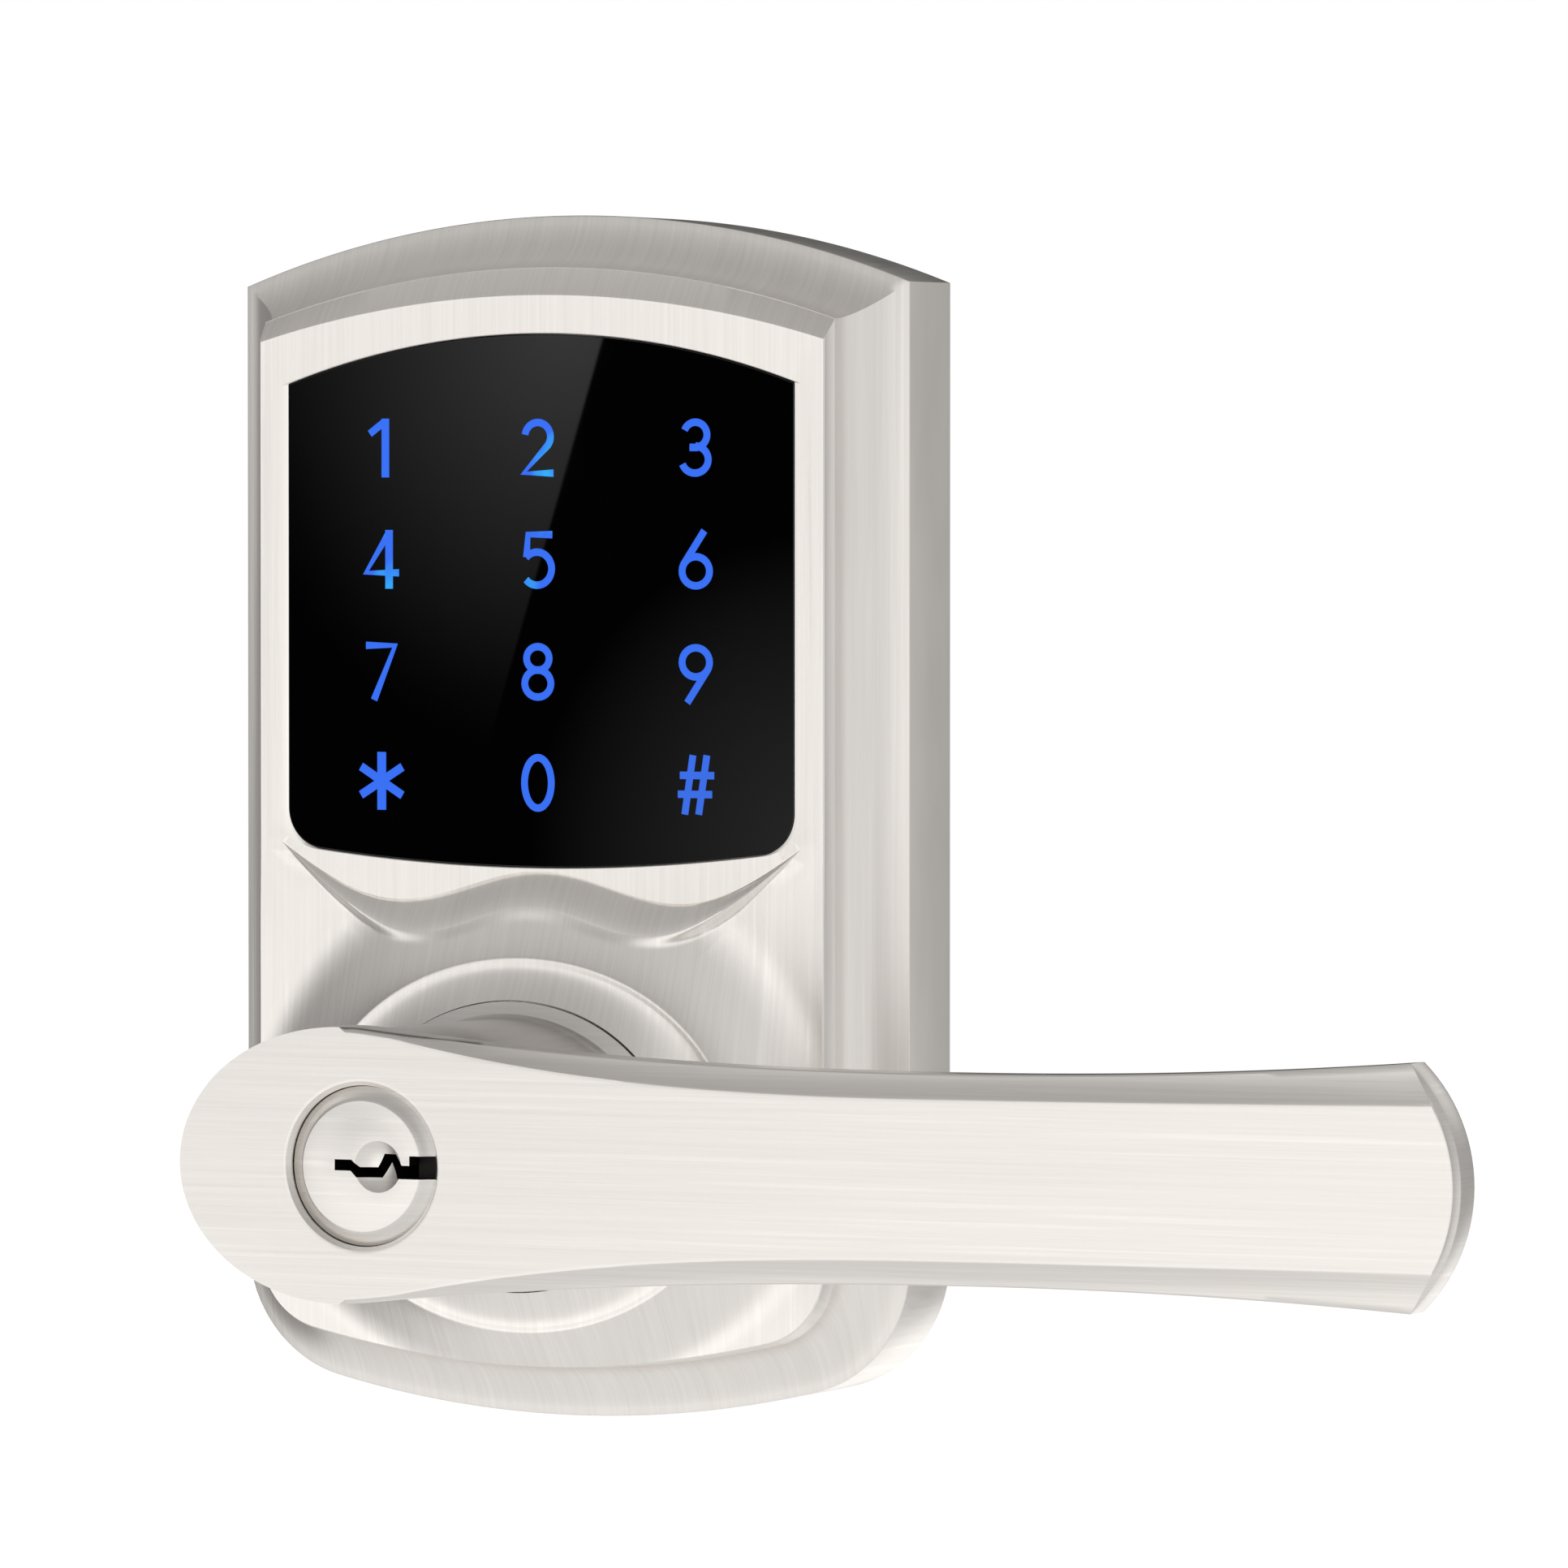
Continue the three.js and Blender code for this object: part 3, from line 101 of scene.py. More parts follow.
# Extrudes a row of vertices to the next row of places and gives back the new row.
def growRow(bm, verts, points, out, closed=True):
    outs = out if isinstance(out, list) else [out] * len(points)
    made = bmesh.ops.extrude_edge_only(bm, edges=joinedEdges(bm, verts, closed))["geom"]
    fresh = {part for part in made if isinstance(part, bmesh.types.BMVert)}
    grown = []
    for vert, (x, z), o in zip(verts, points, outs):
        twin = next(e.other_vert(vert) for e in vert.link_edges if e.other_vert(vert) in fresh)
        twin.co = (x, -o, z)
        grown.append(twin)
    return grown


def fillBetween(bm, *rows):
    edges = [edge for row in rows for edge in row]
    bmesh.ops.triangle_fill(bm, edges=edges, use_beauty=True, use_dissolve=False)


# The vertices and faces in an order that depends on their places alone, so each run gives the same mesh.
def placeOf(vert):
    return tuple(round(c, 4) for c in vert.co)


def orderedMesh(bm, name):
    ordered = sorted(bm.verts, key=placeOf)
    numbers = {vert: number for number, vert in enumerate(ordered)}
    faces = [[numbers[vert] for vert in face.verts] for face in bm.faces]
    mesh = bpy.data.meshes.new(name)
    mesh.from_pydata([vert.co.copy() for vert in ordered], [], sorted(faces, key=sorted))
    return mesh


def finishMesh(bm, name, sharp=smoothAngle, weld=0.0005):
    bmesh.ops.remove_doubles(bm, verts=bm.verts, dist=weld)
    bmesh.ops.dissolve_degenerate(bm, edges=bm.edges, dist=weld / 5)
    bmesh.ops.recalc_face_normals(bm, faces=bm.faces)
    mesh = orderedMesh(bm, name)
    bm.free()
    mesh.transform(Matrix.Scale(mm, 4))
    mesh.shade_smooth()
    mesh.set_sharp_from_angle(angle=math.radians(sharp))
    piece = bpy.data.objects.new(name, mesh)
    bpy.context.scene.collection.objects.link(piece)
    return piece


# A profile of (radius, out) points turned about an axis through (x, z).
def turned(profile, segments, at=(0, 0)):
    bm = bmesh.new()
    verts = [bm.verts.new((at[0] + radius, -out, at[1])) for radius, out in profile]
    edges = joinedEdges(bm, verts, closed=profile[0][0] > 0 or profile[-1][0] > 0)
    around = {"cent": (at[0], 0, at[1]), "axis": (0, 1, 0), "angle": 2 * math.pi}
    bmesh.ops.spin(bm, geom=verts + edges, steps=segments, use_merge=True, **around)
    return bm


# A prism of an outline of (x, z) points between two distances out.
def prism(points, fromOut, toOut):
    bm = bmesh.new()
    base = newLoop(bm, points, fromOut)
    far = growRow(bm, base, points, toOut)
    for row in (base, far):
        fillBetween(bm, joinedEdges(bm, row))
    return bm


def evaluatedMesh(piece):
    return bpy.data.meshes.new_from_object(piece.evaluated_get(bpy.context.evaluated_depsgraph_get()))


def cutAway(piece, *tools):
    for number, tool in enumerate(tools):
        cutter = finishMesh(tool, f"cutter{number}")
        carve = piece.modifiers.new("carve", "BOOLEAN")
        carve.operation, carve.solver, carve.object = "DIFFERENCE", "EXACT", cutter
        shape = evaluatedMesh(piece)
        piece.modifiers.clear()
        piece.data = shape
        bpy.data.objects.remove(cutter)
    piece.data.shade_smooth()
    piece.data.set_sharp_from_angle(angle=math.radians(smoothAngle))


def dress(piece, finish, body, slot, *nodes):
    piece.data.materials.clear()
    piece.data.materials.append(finish)
    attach(piece, body)
    if nodes:
        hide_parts(*nodes)


# A shader socket that can stand in a sum.
class Wire:
    def __init__(self, finish, socket):
        self.finish, self.socket = finish, socket

    def sum(self, operation, first, second):
        return self.finish.node("ShaderNodeMath", {"operation": operation}, {0: first, 1: second})

    def __add__(self, other):
        return self.sum("ADD", self, other)

    def __radd__(self, other):
        return self.sum("ADD", other, self)

    def __sub__(self, other):
        return self.sum("SUBTRACT", self, other)

    def __rsub__(self, other):
        return self.sum("SUBTRACT", other, self)

    def __mul__(self, other):
        return self.sum("MULTIPLY", self, other)

    def __rmul__(self, other):
        return self.sum("MULTIPLY", other, self)

    def __pow__(self, other):
        return self.sum("POWER", self, other)


class Finish:
    def __init__(self, name, colour, roughness, metallic=0, **more):
        self.material = bpy.data.materials.new(name)
        self.material.use_nodes = True
        self.tree = self.material.node_tree
        self.shader = self.tree.nodes["Principled BSDF"]
        self.feed("Base Color", (*colour, 1))
        self.feed("Roughness", roughness)
        self.feed("Metallic", metallic)
        for socket, value in more.items():
            self.feed(socket.replace("_", " "), value)
        self.material.diffuse_color = (*colour, 1)

    def feed(self, socket, value, owner=None):
        target = (owner or self.shader).inputs[socket]
        if isinstance(value, Wire):
            self.tree.links.new(value.socket, target)
        else:
            target.default_value = value

    def node(self, kind, settings, inputs, output=0):
        made = self.tree.nodes.new(kind)
        for key, value in settings.items():
            if key == "stops":
                ramp = made.color_ramp.elements
                while len(ramp) < len(value):
                    ramp.new(1)
                for stop, (position, colour) in zip(ramp, value):
                    stop.position, stop.color = position, (*colour, 1)
            else:
                setattr(made, key, value)
        for key, value in inputs.items():
            self.feed(key, value, made)
        return Wire(self, made.outputs[output])

    # object coordinates, stretched
    def place(self, scale=(1, 1, 1), turn=(0, 0, 0)):
        spot = self.node("ShaderNodeTexCoord", {}, {}, "Object")
        return self.node("ShaderNodeMapping", {}, {"Vector": spot, "Scale": scale, "Rotation": turn})

    # the x and the z coordinate in millimetres
    def acrossAndUp(self):
        across = self.node("ShaderNodeSeparateXYZ", {}, {0: self.place((1 / mm, 1 / mm, 1 / mm))}, 0)
        return across, Wire(self, across.socket.node.outputs[2])

    def noise(self, vector, scale, detail=2, roughness=0.5):
        values = {"Vector": vector, "Scale": scale, "Detail": detail, "Roughness": roughness}
        return self.node("ShaderNodeTexNoise", {}, values)

    def spread(self, value, low, high, newLow, newHigh):
        values = {"Value": value, "From Min": low, "From Max": high, "To Min": newLow, "To Max": newHigh}
        return self.node("ShaderNodeMapRange", {}, values)

    def mix(self, factor, first, second):
        values = {0: factor, 6: (*first, 1) if isinstance(first, tuple) else first}
        values[7] = (*second, 1) if isinstance(second, tuple) else second
        return self.node("ShaderNodeMix", {"data_type": "RGBA"}, values, 2)

    def bump(self, height, distance):
        values = {"Height": height, "Distance": distance, "Strength": 1}
        self.feed("Normal", self.node("ShaderNodeBump", {}, values))


def shade(colour, share):
    return tuple(min(1, c * share) for c in colour)


# Satin nickel, brushed along one axis: long fine lines, a few deeper streaks and soft clouds.
brush = {
    "fine": 4300,
    "deep": 1700,
    "cloud": 34,
    "stretch": 0.011,
    "outStretch": 0.03,
    "fineDepth": 0.000008,
    "deepDepth": 0.000016,
    "tint": 0.5,
}


def brushedNickel(name, colour, axis, roughness, depth):
    finish = Finish(name, colour, roughness, 1)
    scale = [1, brush["outStretch"], 1]
    scale[axis] = brush["stretch"]
    along = finish.place(tuple(scale))
    fine = finish.noise(along, brush["fine"], 2, 0.6)
    deep = finish.noise(along, brush["deep"], 3, 0.6)
    cloud = finish.noise(finish.place(), brush["cloud"], 2)
    streak = finish.spread(deep, 0.57, 0.68, 0, 1)
    tone = finish.spread(fine * 0.5 + deep * 0.5, 0.36, 0.64, 0, 1)
    dark, light = shade(colour, 1 - 0.09 * brush["tint"]), shade(colour, 1 + 0.07 * brush["tint"])
    finish.feed("Base Color", finish.mix(tone, dark, light))
    finish.feed("Roughness", roughness - 0.06 + fine * 0.1 + cloud * 0.04 - streak * 0.05)
    height = fine * (brush["fineDepth"] / brush["deepDepth"]) + deep
    finish.bump(height, brush["deepDepth"] * depth)
    return finish.material


nickel = (0.86, 0.835, 0.805)
# One satin nickel in three copies: the plate's is painted lighter as painted light, and the lever's and plug's darker
# as painted shade, to set how bright each part looks.
plateNickel = brushedNickel("plateNickel", shade(nickel, 1.05), 2, 0.33, 0.85)
leverNickel = brushedNickel("leverNickel", shade(nickel, 0.97), 0, 0.34, 0.7)
plugNickel = brushedNickel("plugNickel", shade(nickel, 0.94), 0, 0.31, 0.55)


def plainMetal(name, colour, roughness, grain=900, depth=0.000004):
    finish = Finish(name, colour, roughness, 1)
    spot = finish.noise(finish.place(), grain, 3, 0.6)
    cloud = finish.noise(finish.place(), grain / 14, 2)
    finish.feed("Base Color", finish.mix(cloud, shade(colour, 0.86), shade(colour, 1.1)))
    finish.feed("Roughness", roughness - 0.06 + spot * 0.1 + cloud * 0.06)
    finish.bump(spot, depth)
    return finish.material


def moulded(name, colour, roughness, grain=1800, depth=0.000012):
    finish = Finish(name, colour, roughness)
    pebble = finish.noise(finish.place(), grain, 2, 0.5)
    cloud = finish.noise(finish.place(), grain / 30, 2)
    finish.feed("Base Color", finish.mix(cloud, shade(colour, 0.8), shade(colour, 1.2)))
    finish.feed("Roughness", roughness - 0.08 + pebble * 0.16)
    finish.bump(pebble, depth)
    return finish.material


def circuitBoard(name):
    finish = Finish(name, (0.01, 0.09, 0.035), 0.35, Coat_Weight=0.3)
    place = finish.place()
    laid = finish.place(turn=(math.pi / 2, 0, 0))
    tracks = finish.node(
        "ShaderNodeTexBrick",
        {"offset": 0.3, "squash": 1.7},
        {"Vector": laid, "Scale": 160, "Mortar Size": 0.03, "Row Height": 0.3},
        "Fac",
    )
    weave = finish.noise(place, 900, 2)
    green = finish.mix(weave, (0.008, 0.07, 0.03), (0.014, 0.11, 0.045))
    finish.feed("Base Color", finish.mix(tracks * 0.8, green, (0.03, 0.2, 0.08)))
    finish.bump(tracks, 0.00003)
    return finish.material


rubber = moulded("rubber", (0.022, 0.022, 0.023), 0.72, 1400, 0.00002)
blackPlastic = moulded("blackPlastic", (0.025, 0.025, 0.028), 0.5)
acetal = moulded("acetal", (0.8, 0.79, 0.74), 0.45, 1100)
frosted = moulded("frosted", (0.75, 0.78, 0.82), 0.4, 2600)
zinc = plainMetal("zincPlate", (0.66, 0.68, 0.71), 0.3)
plateSteel = plainMetal("plateSteel", (0.5, 0.5, 0.51), 0.4, 500)
springSteel = plainMetal("springSteel", (0.36, 0.36, 0.38), 0.34)
brass = plainMetal("machinedBrass", (0.74, 0.55, 0.25), 0.28)
motorCan = plainMetal("motorCan", (0.62, 0.62, 0.63), 0.32, 700)
board = circuitBoard("circuitBoard")
print("materials ready")


view = {"place": (0.5182, -1.0933, 0.0743), "aim": (0.0166, 0.0088, 0.0396), "lens": 244.9}
camera = bpy.data.objects.new("camera", bpy.data.cameras.new("camera"))
camera.data.lens, camera.data.sensor_width = view["lens"], 36
camera.location = view["place"]
sight = Vector(view["aim"]) - Vector(view["place"])
camera.rotation_euler = sight.to_track_quat("-Z", "Y").to_euler()
bpy.context.scene.collection.objects.link(camera)
bpy.context.scene.camera = camera
bpy.context.scene.view_settings.view_transform = "Standard"

# The soft room: brightness by height, then wide soft lamps and shades by direction, in order.
# Each is (direction, brightness, angle of its full middle, angle where it ends).
studio = {
    "heights": [(-1, 0.8), (-0.3, 0.84), (-0.05, 0.86), (0.02, 0.74), (0.2, 0.6), (0.5, 0.54), (0.8, 0.46), (1, 0.4)],
    "lamps": [
        ((-0.97, 0.2, 0.0), 0.24, 30, 56),
        ((0.414, 0.91, -0.03), 0.4, 14, 38),
        ((-0.42, 0.88, 0.24), 0.03, 15, 38),
        ((0.22, 0.9, 0.4), 0.85, 6, 18),
        ((-0.03, 0.9, -0.46), 1.25, 10, 26),
        ((0.1, -0.99, -0.04), 0.92, 12, 40),
        ((-0.38, -0.9, -0.12), 1.24, 18, 34),
    ],
    "warmth": (1, 0.985, 0.968),
    "floorDrop": 0.22,
    "floorGlow": 0.8,
    "floorHalf": 4000,
}


def softRoom():
    world = bpy.data.worlds.new("studio")
    bpy.context.scene.world = world
    world.use_nodes = True
    room = Finish.__new__(Finish)
    room.tree = world.node_tree
    way = room.node("ShaderNodeTexCoord", {}, {}, "Generated")
    height = room.spread(room.node("ShaderNodeSeparateXYZ", {}, {0: way}, 2), -1, 1, 0, 1)
    stops = [((place + 1) / 2, (value,) * 3) for place, value in studio["heights"]]
    level = room.node("ShaderNodeValToRGB", {"stops": stops}, {0: height}, "Color")
    for towards, value, full, none in studio["lamps"]:
        aim = Vector(towards).normalized()
        facing = room.node("ShaderNodeVectorMath", {"operation": "DOT_PRODUCT"}, {0: way, 1: aim}, "Value")
        near, far = math.cos(math.radians(full)), math.cos(math.radians(none))
        inside = {"Value": facing, "From Min": far, "From Max": near}
        share = room.node("ShaderNodeMapRange", {"interpolation_type": "SMOOTHSTEP"}, inside)
        level = room.mix(share, level, (value,) * 3)
    tint = (*studio["warmth"], 1)
    warm = room.node("ShaderNodeMix", {"data_type": "RGBA", "blend_type": "MULTIPLY"}, {0: 1, 6: level, 7: tint}, 2)
    straight = room.node("ShaderNodeLightPath", {}, {}, "Is Camera Ray")
    room.feed("Color", room.mix(straight, warm, (1, 1, 1)), room.tree.nodes["Background"])


def paleFloor():
    glow = {"Emission_Color": (1, 1, 1, 1), "Emission_Strength": studio["floorGlow"]}
    finish = Finish("paleFloor", (0.6, 0.6, 0.6), 0.9, **glow)
    bm = bmesh.new()
    bmesh.ops.create_grid(bm, x_segments=1, y_segments=1, size=studio["floorHalf"])
    floor = finishMesh(bm, "floor")
    floor.data.transform(Matrix.Translation((0, 0, housingLow.z * mm - studio["floorDrop"])))
    floor.data.materials.append(finish.material)
    floor.visible_glossy = False


softRoom()
paleFloor()

# A card in front of the lock, left of the camera, that the glass mirrors: dark, with one slanted
# light wedge and a glow in its lower right corner.
card = {
    "out": 700,
    "low": (-400, -15),
    "high": (-262, 125),
    "edge": (-315.6, 99.4, 0.312),
    "glow": (-322, 108, 88),
    "glowCore": 4,
    "glowStretch": 1.15,
    "glowPower": 1.6,
    "corner": (-270, 5, 60),
    "cornerLevel": 0.5,
    "level": 0.95,
    "sharpness": 0.5,
}


def mirrorCard():
    finish = Finish("mirrorCard", (0, 0, 0), 1, Specular_IOR_Level=0, Emission_Strength=1)
    x, z = finish.acrossAndUp()
    edgeX, edgeZ, slope = card["edge"]
    wedge = finish.spread(x - (z - edgeZ) * slope, edgeX + card["sharpness"], edgeX, 0, 1)
    glowX, glowZ, glowReach = card["glow"]
    away = ((x - glowX) * card["glowStretch"]) ** 2 + (z - glowZ) ** 2
    glow = finish.spread(away**0.5, card["glowCore"], glowReach, 1, 0) ** card["glowPower"]
    cornerX, cornerZ, cornerReach = card["corner"]
    cornerAway = ((x - cornerX) ** 2 + (z - cornerZ) ** 2) ** 0.5
    corner = finish.spread(cornerAway, 0, cornerReach, card["cornerLevel"], 0)
    light = wedge * glow * card["level"] + corner
    finish.feed("Emission Color", finish.mix(light, (0, 0, 0), (1, 1, 1)))
    bm = bmesh.new()
    (x1, z1), (x2, z2) = card["low"], card["high"]
    sheet = newLoop(bm, [(x1, z1), (x2, z1), (x2, z2), (x1, z2)], card["out"])
    fillBetween(bm, joinedEdges(bm, sheet))
    piece = finishMesh(bm, "mirrorCard")
    piece.data.materials.append(finish.material)
    piece.visible_camera = False
    piece.visible_diffuse = False
    piece.visible_shadow = False


mirrorCard()
print("studio ready")


plate = {
    "archRise": 7.7,
    "bottomRadius": 126,
    "corner": 15,
    "rimOut": 0.25,
    "skirtOut": 11.8,
    "skirtRound": 0.25,
    "coveOut": 18.7,
    "coveWidth": 5.95,
    "coveLean": math.radians(16),
    "coveSteps": 16,
    "panelOut": 20.9,
    "stepSide": 0.35,
    "stepTop": 3,
    "panelRise": 5.1,
    "skirtWall": 2.6,
    "ceilingOut": 17.6,
    "glassRise": 5.5,
    "glassBottomRadius": 215,
    "glassCorner": 4.6,
    "strip": 0.85,
    "stripDrop": 0.14,
    "ledgeOut": 18.9,
    "windowInset": 3.5,
}
wave = {
    "tipX": 32.15,
    "tipZ": 33.3,
    "upper": (17.35, 27.05, 30.4),
    "lower": (13.9, 23.5, 26.4),
    "height": 2.4,
    "lean": 0.6,
    "steps": 96,
    "section": ((0.05, 0.2, 0), (0.1, 0.14, 0.03), (0.35, 0, 0.33), (0.65, 0, 0.68), (0.9, 0, 0.95), (1, 0, 1)),
}
boss = {
    "rim": (26.3, 21.1),
    "rimOut": 25.6,
    "collar": (19.6, 16.3),
    "pocket": (22, 18),
    "pocketOut": 22.4,
    "lip": 0.18,
    "groove": 0.9,
    "slope": 0.36,
    "rimSlope": 0.35,
    "easeFrom": 8,
    "easeTo": 14.5,
    "sideEase": 0.3,
    "footEase": 1.1,
    "liftFrom": 33,
    "liftTo": 24,
    "rimSection": ((0.1, 0.1), (0.24, 0.16), (0.5, 0.18), (0.8, 0.16), (0.95, 0.17)),
    "coneShares": (0.12, 0.25, 0.4, 0.55, 0.7, 0.85, 0.97, 1),
    "conePower": 1.5,
}
halfWidth = housingHigh.x
archSteps, sideSteps, cornerSteps, bottomSteps = 72, 26, 18, 72


# The arched outline that the plate, the panel and the glass share, counterclockwise from the upper right corner.
def archedOutline(half, top, topRadius, bottom, bottomRadius, corner, level=60):
    archCentre = top - topRadius
    archAngle = math.asin(half / topRadius)
    cornerX = half - corner
    bottomCentre = bottom + bottomRadius
    cornerZ = bottomCentre - math.sqrt((bottomRadius - corner) ** 2 - cornerX**2)
    bottomAngle = math.atan2(cornerX, bottomCentre - cornerZ)
    down = -math.pi / 2
    left = [(-half, level + (cornerZ - level) * i / sideSteps) for i in range(sideSteps)]
    right = [(-x, z) for x, z in reversed(left)]
    return (
        arc((0, archCentre), topRadius, -down - archAngle, -down + archAngle, archSteps)
        + left
        + arc((-cornerX, cornerZ), corner, math.pi, 1.5 * math.pi - bottomAngle, cornerSteps)
        + arc((0, bottomCentre), bottomRadius, down - bottomAngle, down + bottomAngle, bottomSteps)[1:-1]
        + arc((cornerX, cornerZ), corner, down + bottomAngle, 0, cornerSteps)
        + right
    )


def plateOutline(inset):
    radius = radiusOfRise(halfWidth, plate["archRise"])
    return archedOutline(
        halfWidth - inset,
        housingHigh.z - inset,
        radius - inset,
        housingLow.z + inset,
        plate["bottomRadius"] - inset,
        plate["corner"] - inset,
        wave["tipZ"],
    )


def panelOutline(inset):
    side = plate["coveWidth"] + plate["stepSide"]
    half = halfWidth - side
    return archedOutline(
        half - inset,
        housingHigh.z - plate["coveWidth"] - plate["stepTop"] - inset,
        radiusOfRise(half, plate["panelRise"]) - inset,
        housingLow.z + side + inset,
        plate["bottomRadius"] - plate["coveWidth"] - inset,
        plate["corner"] - side - inset,
        wave["tipZ"],
    )


# The glass outline, grown by so much at its sides, top and bottom.
def glassOutline(side, top=None, bottom=None):
    top = side if top is None else top
    bottom = side if bottom is None else bottom
    return archedOutline(
        glassHigh.x + side,
        glassHigh.z + top,
        radiusOfRise(glassHigh.x, plate["glassRise"]) + top,
        glassLow.z - bottom,
        plate["glassBottomRadius"] + bottom,
        max(0.6, plate["glassCorner"] + (side + bottom) / 2),
    )


def waveEdge(valleyX, valleyZ, crestZ):
    points = []
    for i in range(wave["steps"] + 1):
        x = wave["tipX"] * math.cos(math.pi * i / wave["steps"])
        reach = abs(x)
        if reach < valleyX:
            rise = (crestZ - valleyZ) * (1 + math.cos(math.pi * reach / valleyX)) / 2
        else:
            turn = (math.pi / 2) * (reach - valleyX) / (wave["tipX"] - valleyX)
            rise = (wave["tipZ"] - valleyZ) * (1 - math.cos(turn))
        points.append((x, valleyZ + rise))
    return points


def ellipseReach(half, x, z):
    return 1 / math.hypot(x / half[0], z / half[1])


def between(first, second, share):
    return [(a + (c - a) * share, b + (d - b) * share) for (a, b), (c, d) in zip(first, second)]


# How far out the lower face lies at (x, z): a hollow slope that rises to the boss.
def lowerFace(x, z):
    reach = math.hypot(x, z)
    away = reach - ellipseReach(boss["rim"], x / reach, z / reach)
    away *= 1 + boss["sideEase"] * (x / reach) ** 2 + (boss["footEase"] * (z / reach) ** 2 if z < 0 else 0)
    steep, ease = boss["slope"], boss["easeFrom"]
    fall = steep * min(away, ease) + boss["rimSlope"] * (1 - math.exp(-away / 1.5))
    if away > ease:
        length = boss["easeTo"] - ease
        share = min(1, (away - ease) / length)
        fall += steep * length * (share - share * share / 2)
    return max(plate["panelOut"], boss["rimOut"] - boss["lip"] - fall)


def edgeLift(x, z):
    start = boss["liftFrom"]
    return (lowerFace(x, z) - plate["panelOut"]) * blendOf(start, boss["liftTo"], z) if z < start else 0


def waveRise(top, x, z):
    lifted = (lowerFace(x, z) - plate["panelOut"]) * blendOf(0, 1.6, top - z)
    return min(wave["height"], max(wave["lean"] * (top - z), lifted))


def escutcheonShell():
    bm = bmesh.new()
    panelOut = plate["panelOut"]
    # from the rim at the door up the side, round the cove and over the step to the panel
    rim = newLoop(bm, plateOutline(0.3), plate["rimOut"])
    row = growRow(bm, rim, plateOutline(0), plate["rimOut"] + 0.3)
    start = plate["skirtRound"]
    row = growRow(bm, row, plateOutline(0), plate["skirtOut"] - start)
    row = growRow(bm, row, plateOutline(0.07), plate["skirtOut"] - 0.07)
    row = growRow(bm, row, plateOutline(start), plate["skirtOut"])
    depth = plate["coveOut"] - plate["skirtOut"]
    lean = plate["coveLean"]
    for step in range(1, plate["coveSteps"] + 1):
        turn = lean + (math.pi / 2 - lean) * step / plate["coveSteps"]
        across = (math.sin(turn) - math.sin(lean)) / (1 - math.sin(lean))
        inset = start + (plate["coveWidth"] - start) * across
        drop = depth * math.cos(turn) / math.cos(lean)
        row = growRow(bm, row, plateOutline(inset), plate["coveOut"] - drop)
    panel = panelOutline(0)
    foot = plateOutline(plate["coveWidth"])
    lifts = [edgeLift(x, z) for x, z in panel]
    near = [panelOut - 0.14 + lift for lift in lifts]
    row = growRow(bm, row, between(foot, panel, 0.04), plate["coveOut"] + 0.03)
    row = growRow(bm, row, between(foot, panel, 0.95), near)
    edge = growRow(bm, row, panelOutline(0.12), [panelOut + lift for lift in lifts])
    # the panel's flat face: round the glass opening and down to the wave
    levelLeft = archSteps + 1
    upperEdge = newLoop(bm, waveEdge(*wave["upper"]), panelOut, closed=False)
    opening = newLoop(bm, glassOutline(plate["strip"], 0.2, 0.2), panelOut)
    around = joinedEdges(bm, [upperEdge[0], edge[-1]] + edge[: levelLeft + 1] + [upperEdge[-1]], closed=False)
    fillBetween(bm, around, joinedEdges(bm, upperEdge, closed=False), joinedEdges(bm, opening))
    # the glass opening: light side strips, the wall, the ledge under the glass and the window
    row = growRow(bm, opening, glassOutline(0.06), panelOut - plate["stripDrop"])
    row = growRow(bm, row, glassOutline(0.05), plate["ledgeOut"])
    row = growRow(bm, row, glassOutline(-plate["windowInset"]), plate["ledgeOut"])
    window = growRow(bm, row, glassOutline(-plate["windowInset"]), plate["ceilingOut"])
    # the wave: from its upper crease to its lower edge
    upper, lower = waveEdge(*wave["upper"]), waveEdge(*wave["lower"])
    rises = [waveRise(top, x, z) for (_, top), (x, z) in zip(upper, lower)]
    steps = [blendOf(0, 1, top - z) for (_, top), (_, z) in zip(upper, lower)]
    row = upperEdge
    for share, sink, climb in wave["section"]:
        outs = [panelOut - sink * step + rise * climb for rise, step in zip(rises, steps)]
        row = growRow(bm, row, between(upper, lower, share), outs, closed=False)
    for tip, twin in ((upperEdge[0], row[0]), (upperEdge[-1], row[-1])):
        twin.co = tip.co
    # the lower face: from the wave and the panel's edge in to the boss
    ring = row + edge[levelLeft:]
    ends = [(v.co.x, v.co.z) for v in ring]
    foots = [-v.co.y for v in ring]
    outer = [math.hypot(x, z) for x, z in ends]
    inner = [ellipseReach(boss["rim"], x / r, z / r) for (x, z), r in zip(ends, outer)]
    rimOut = boss["rimOut"] - boss["lip"]
    shares = [0.993, 0.975] + [0.95 - 0.05 * step for step in range(14)]
    shares += [0.26, 0.22, 0.18, 0.14, 0.105, 0.075, 0.045, 0.02, 0]
    for share in shares:
        reach = [i + (o - i) * share for i, o in zip(inner, outer)]
        points = [(x * r / o, z * r / o) for (x, z), r, o in zip(ends, reach, outer)]
        settle = blendOf(0.7, 1, share)
        outs = []
        for (x, z), (endX, endZ), foot in zip(points, ends, foots):
            outs.append(lowerFace(x, z) + (foot - lowerFace(endX, endZ)) * settle)
        ring = growRow(bm, ring, points, outs if share else rimOut)
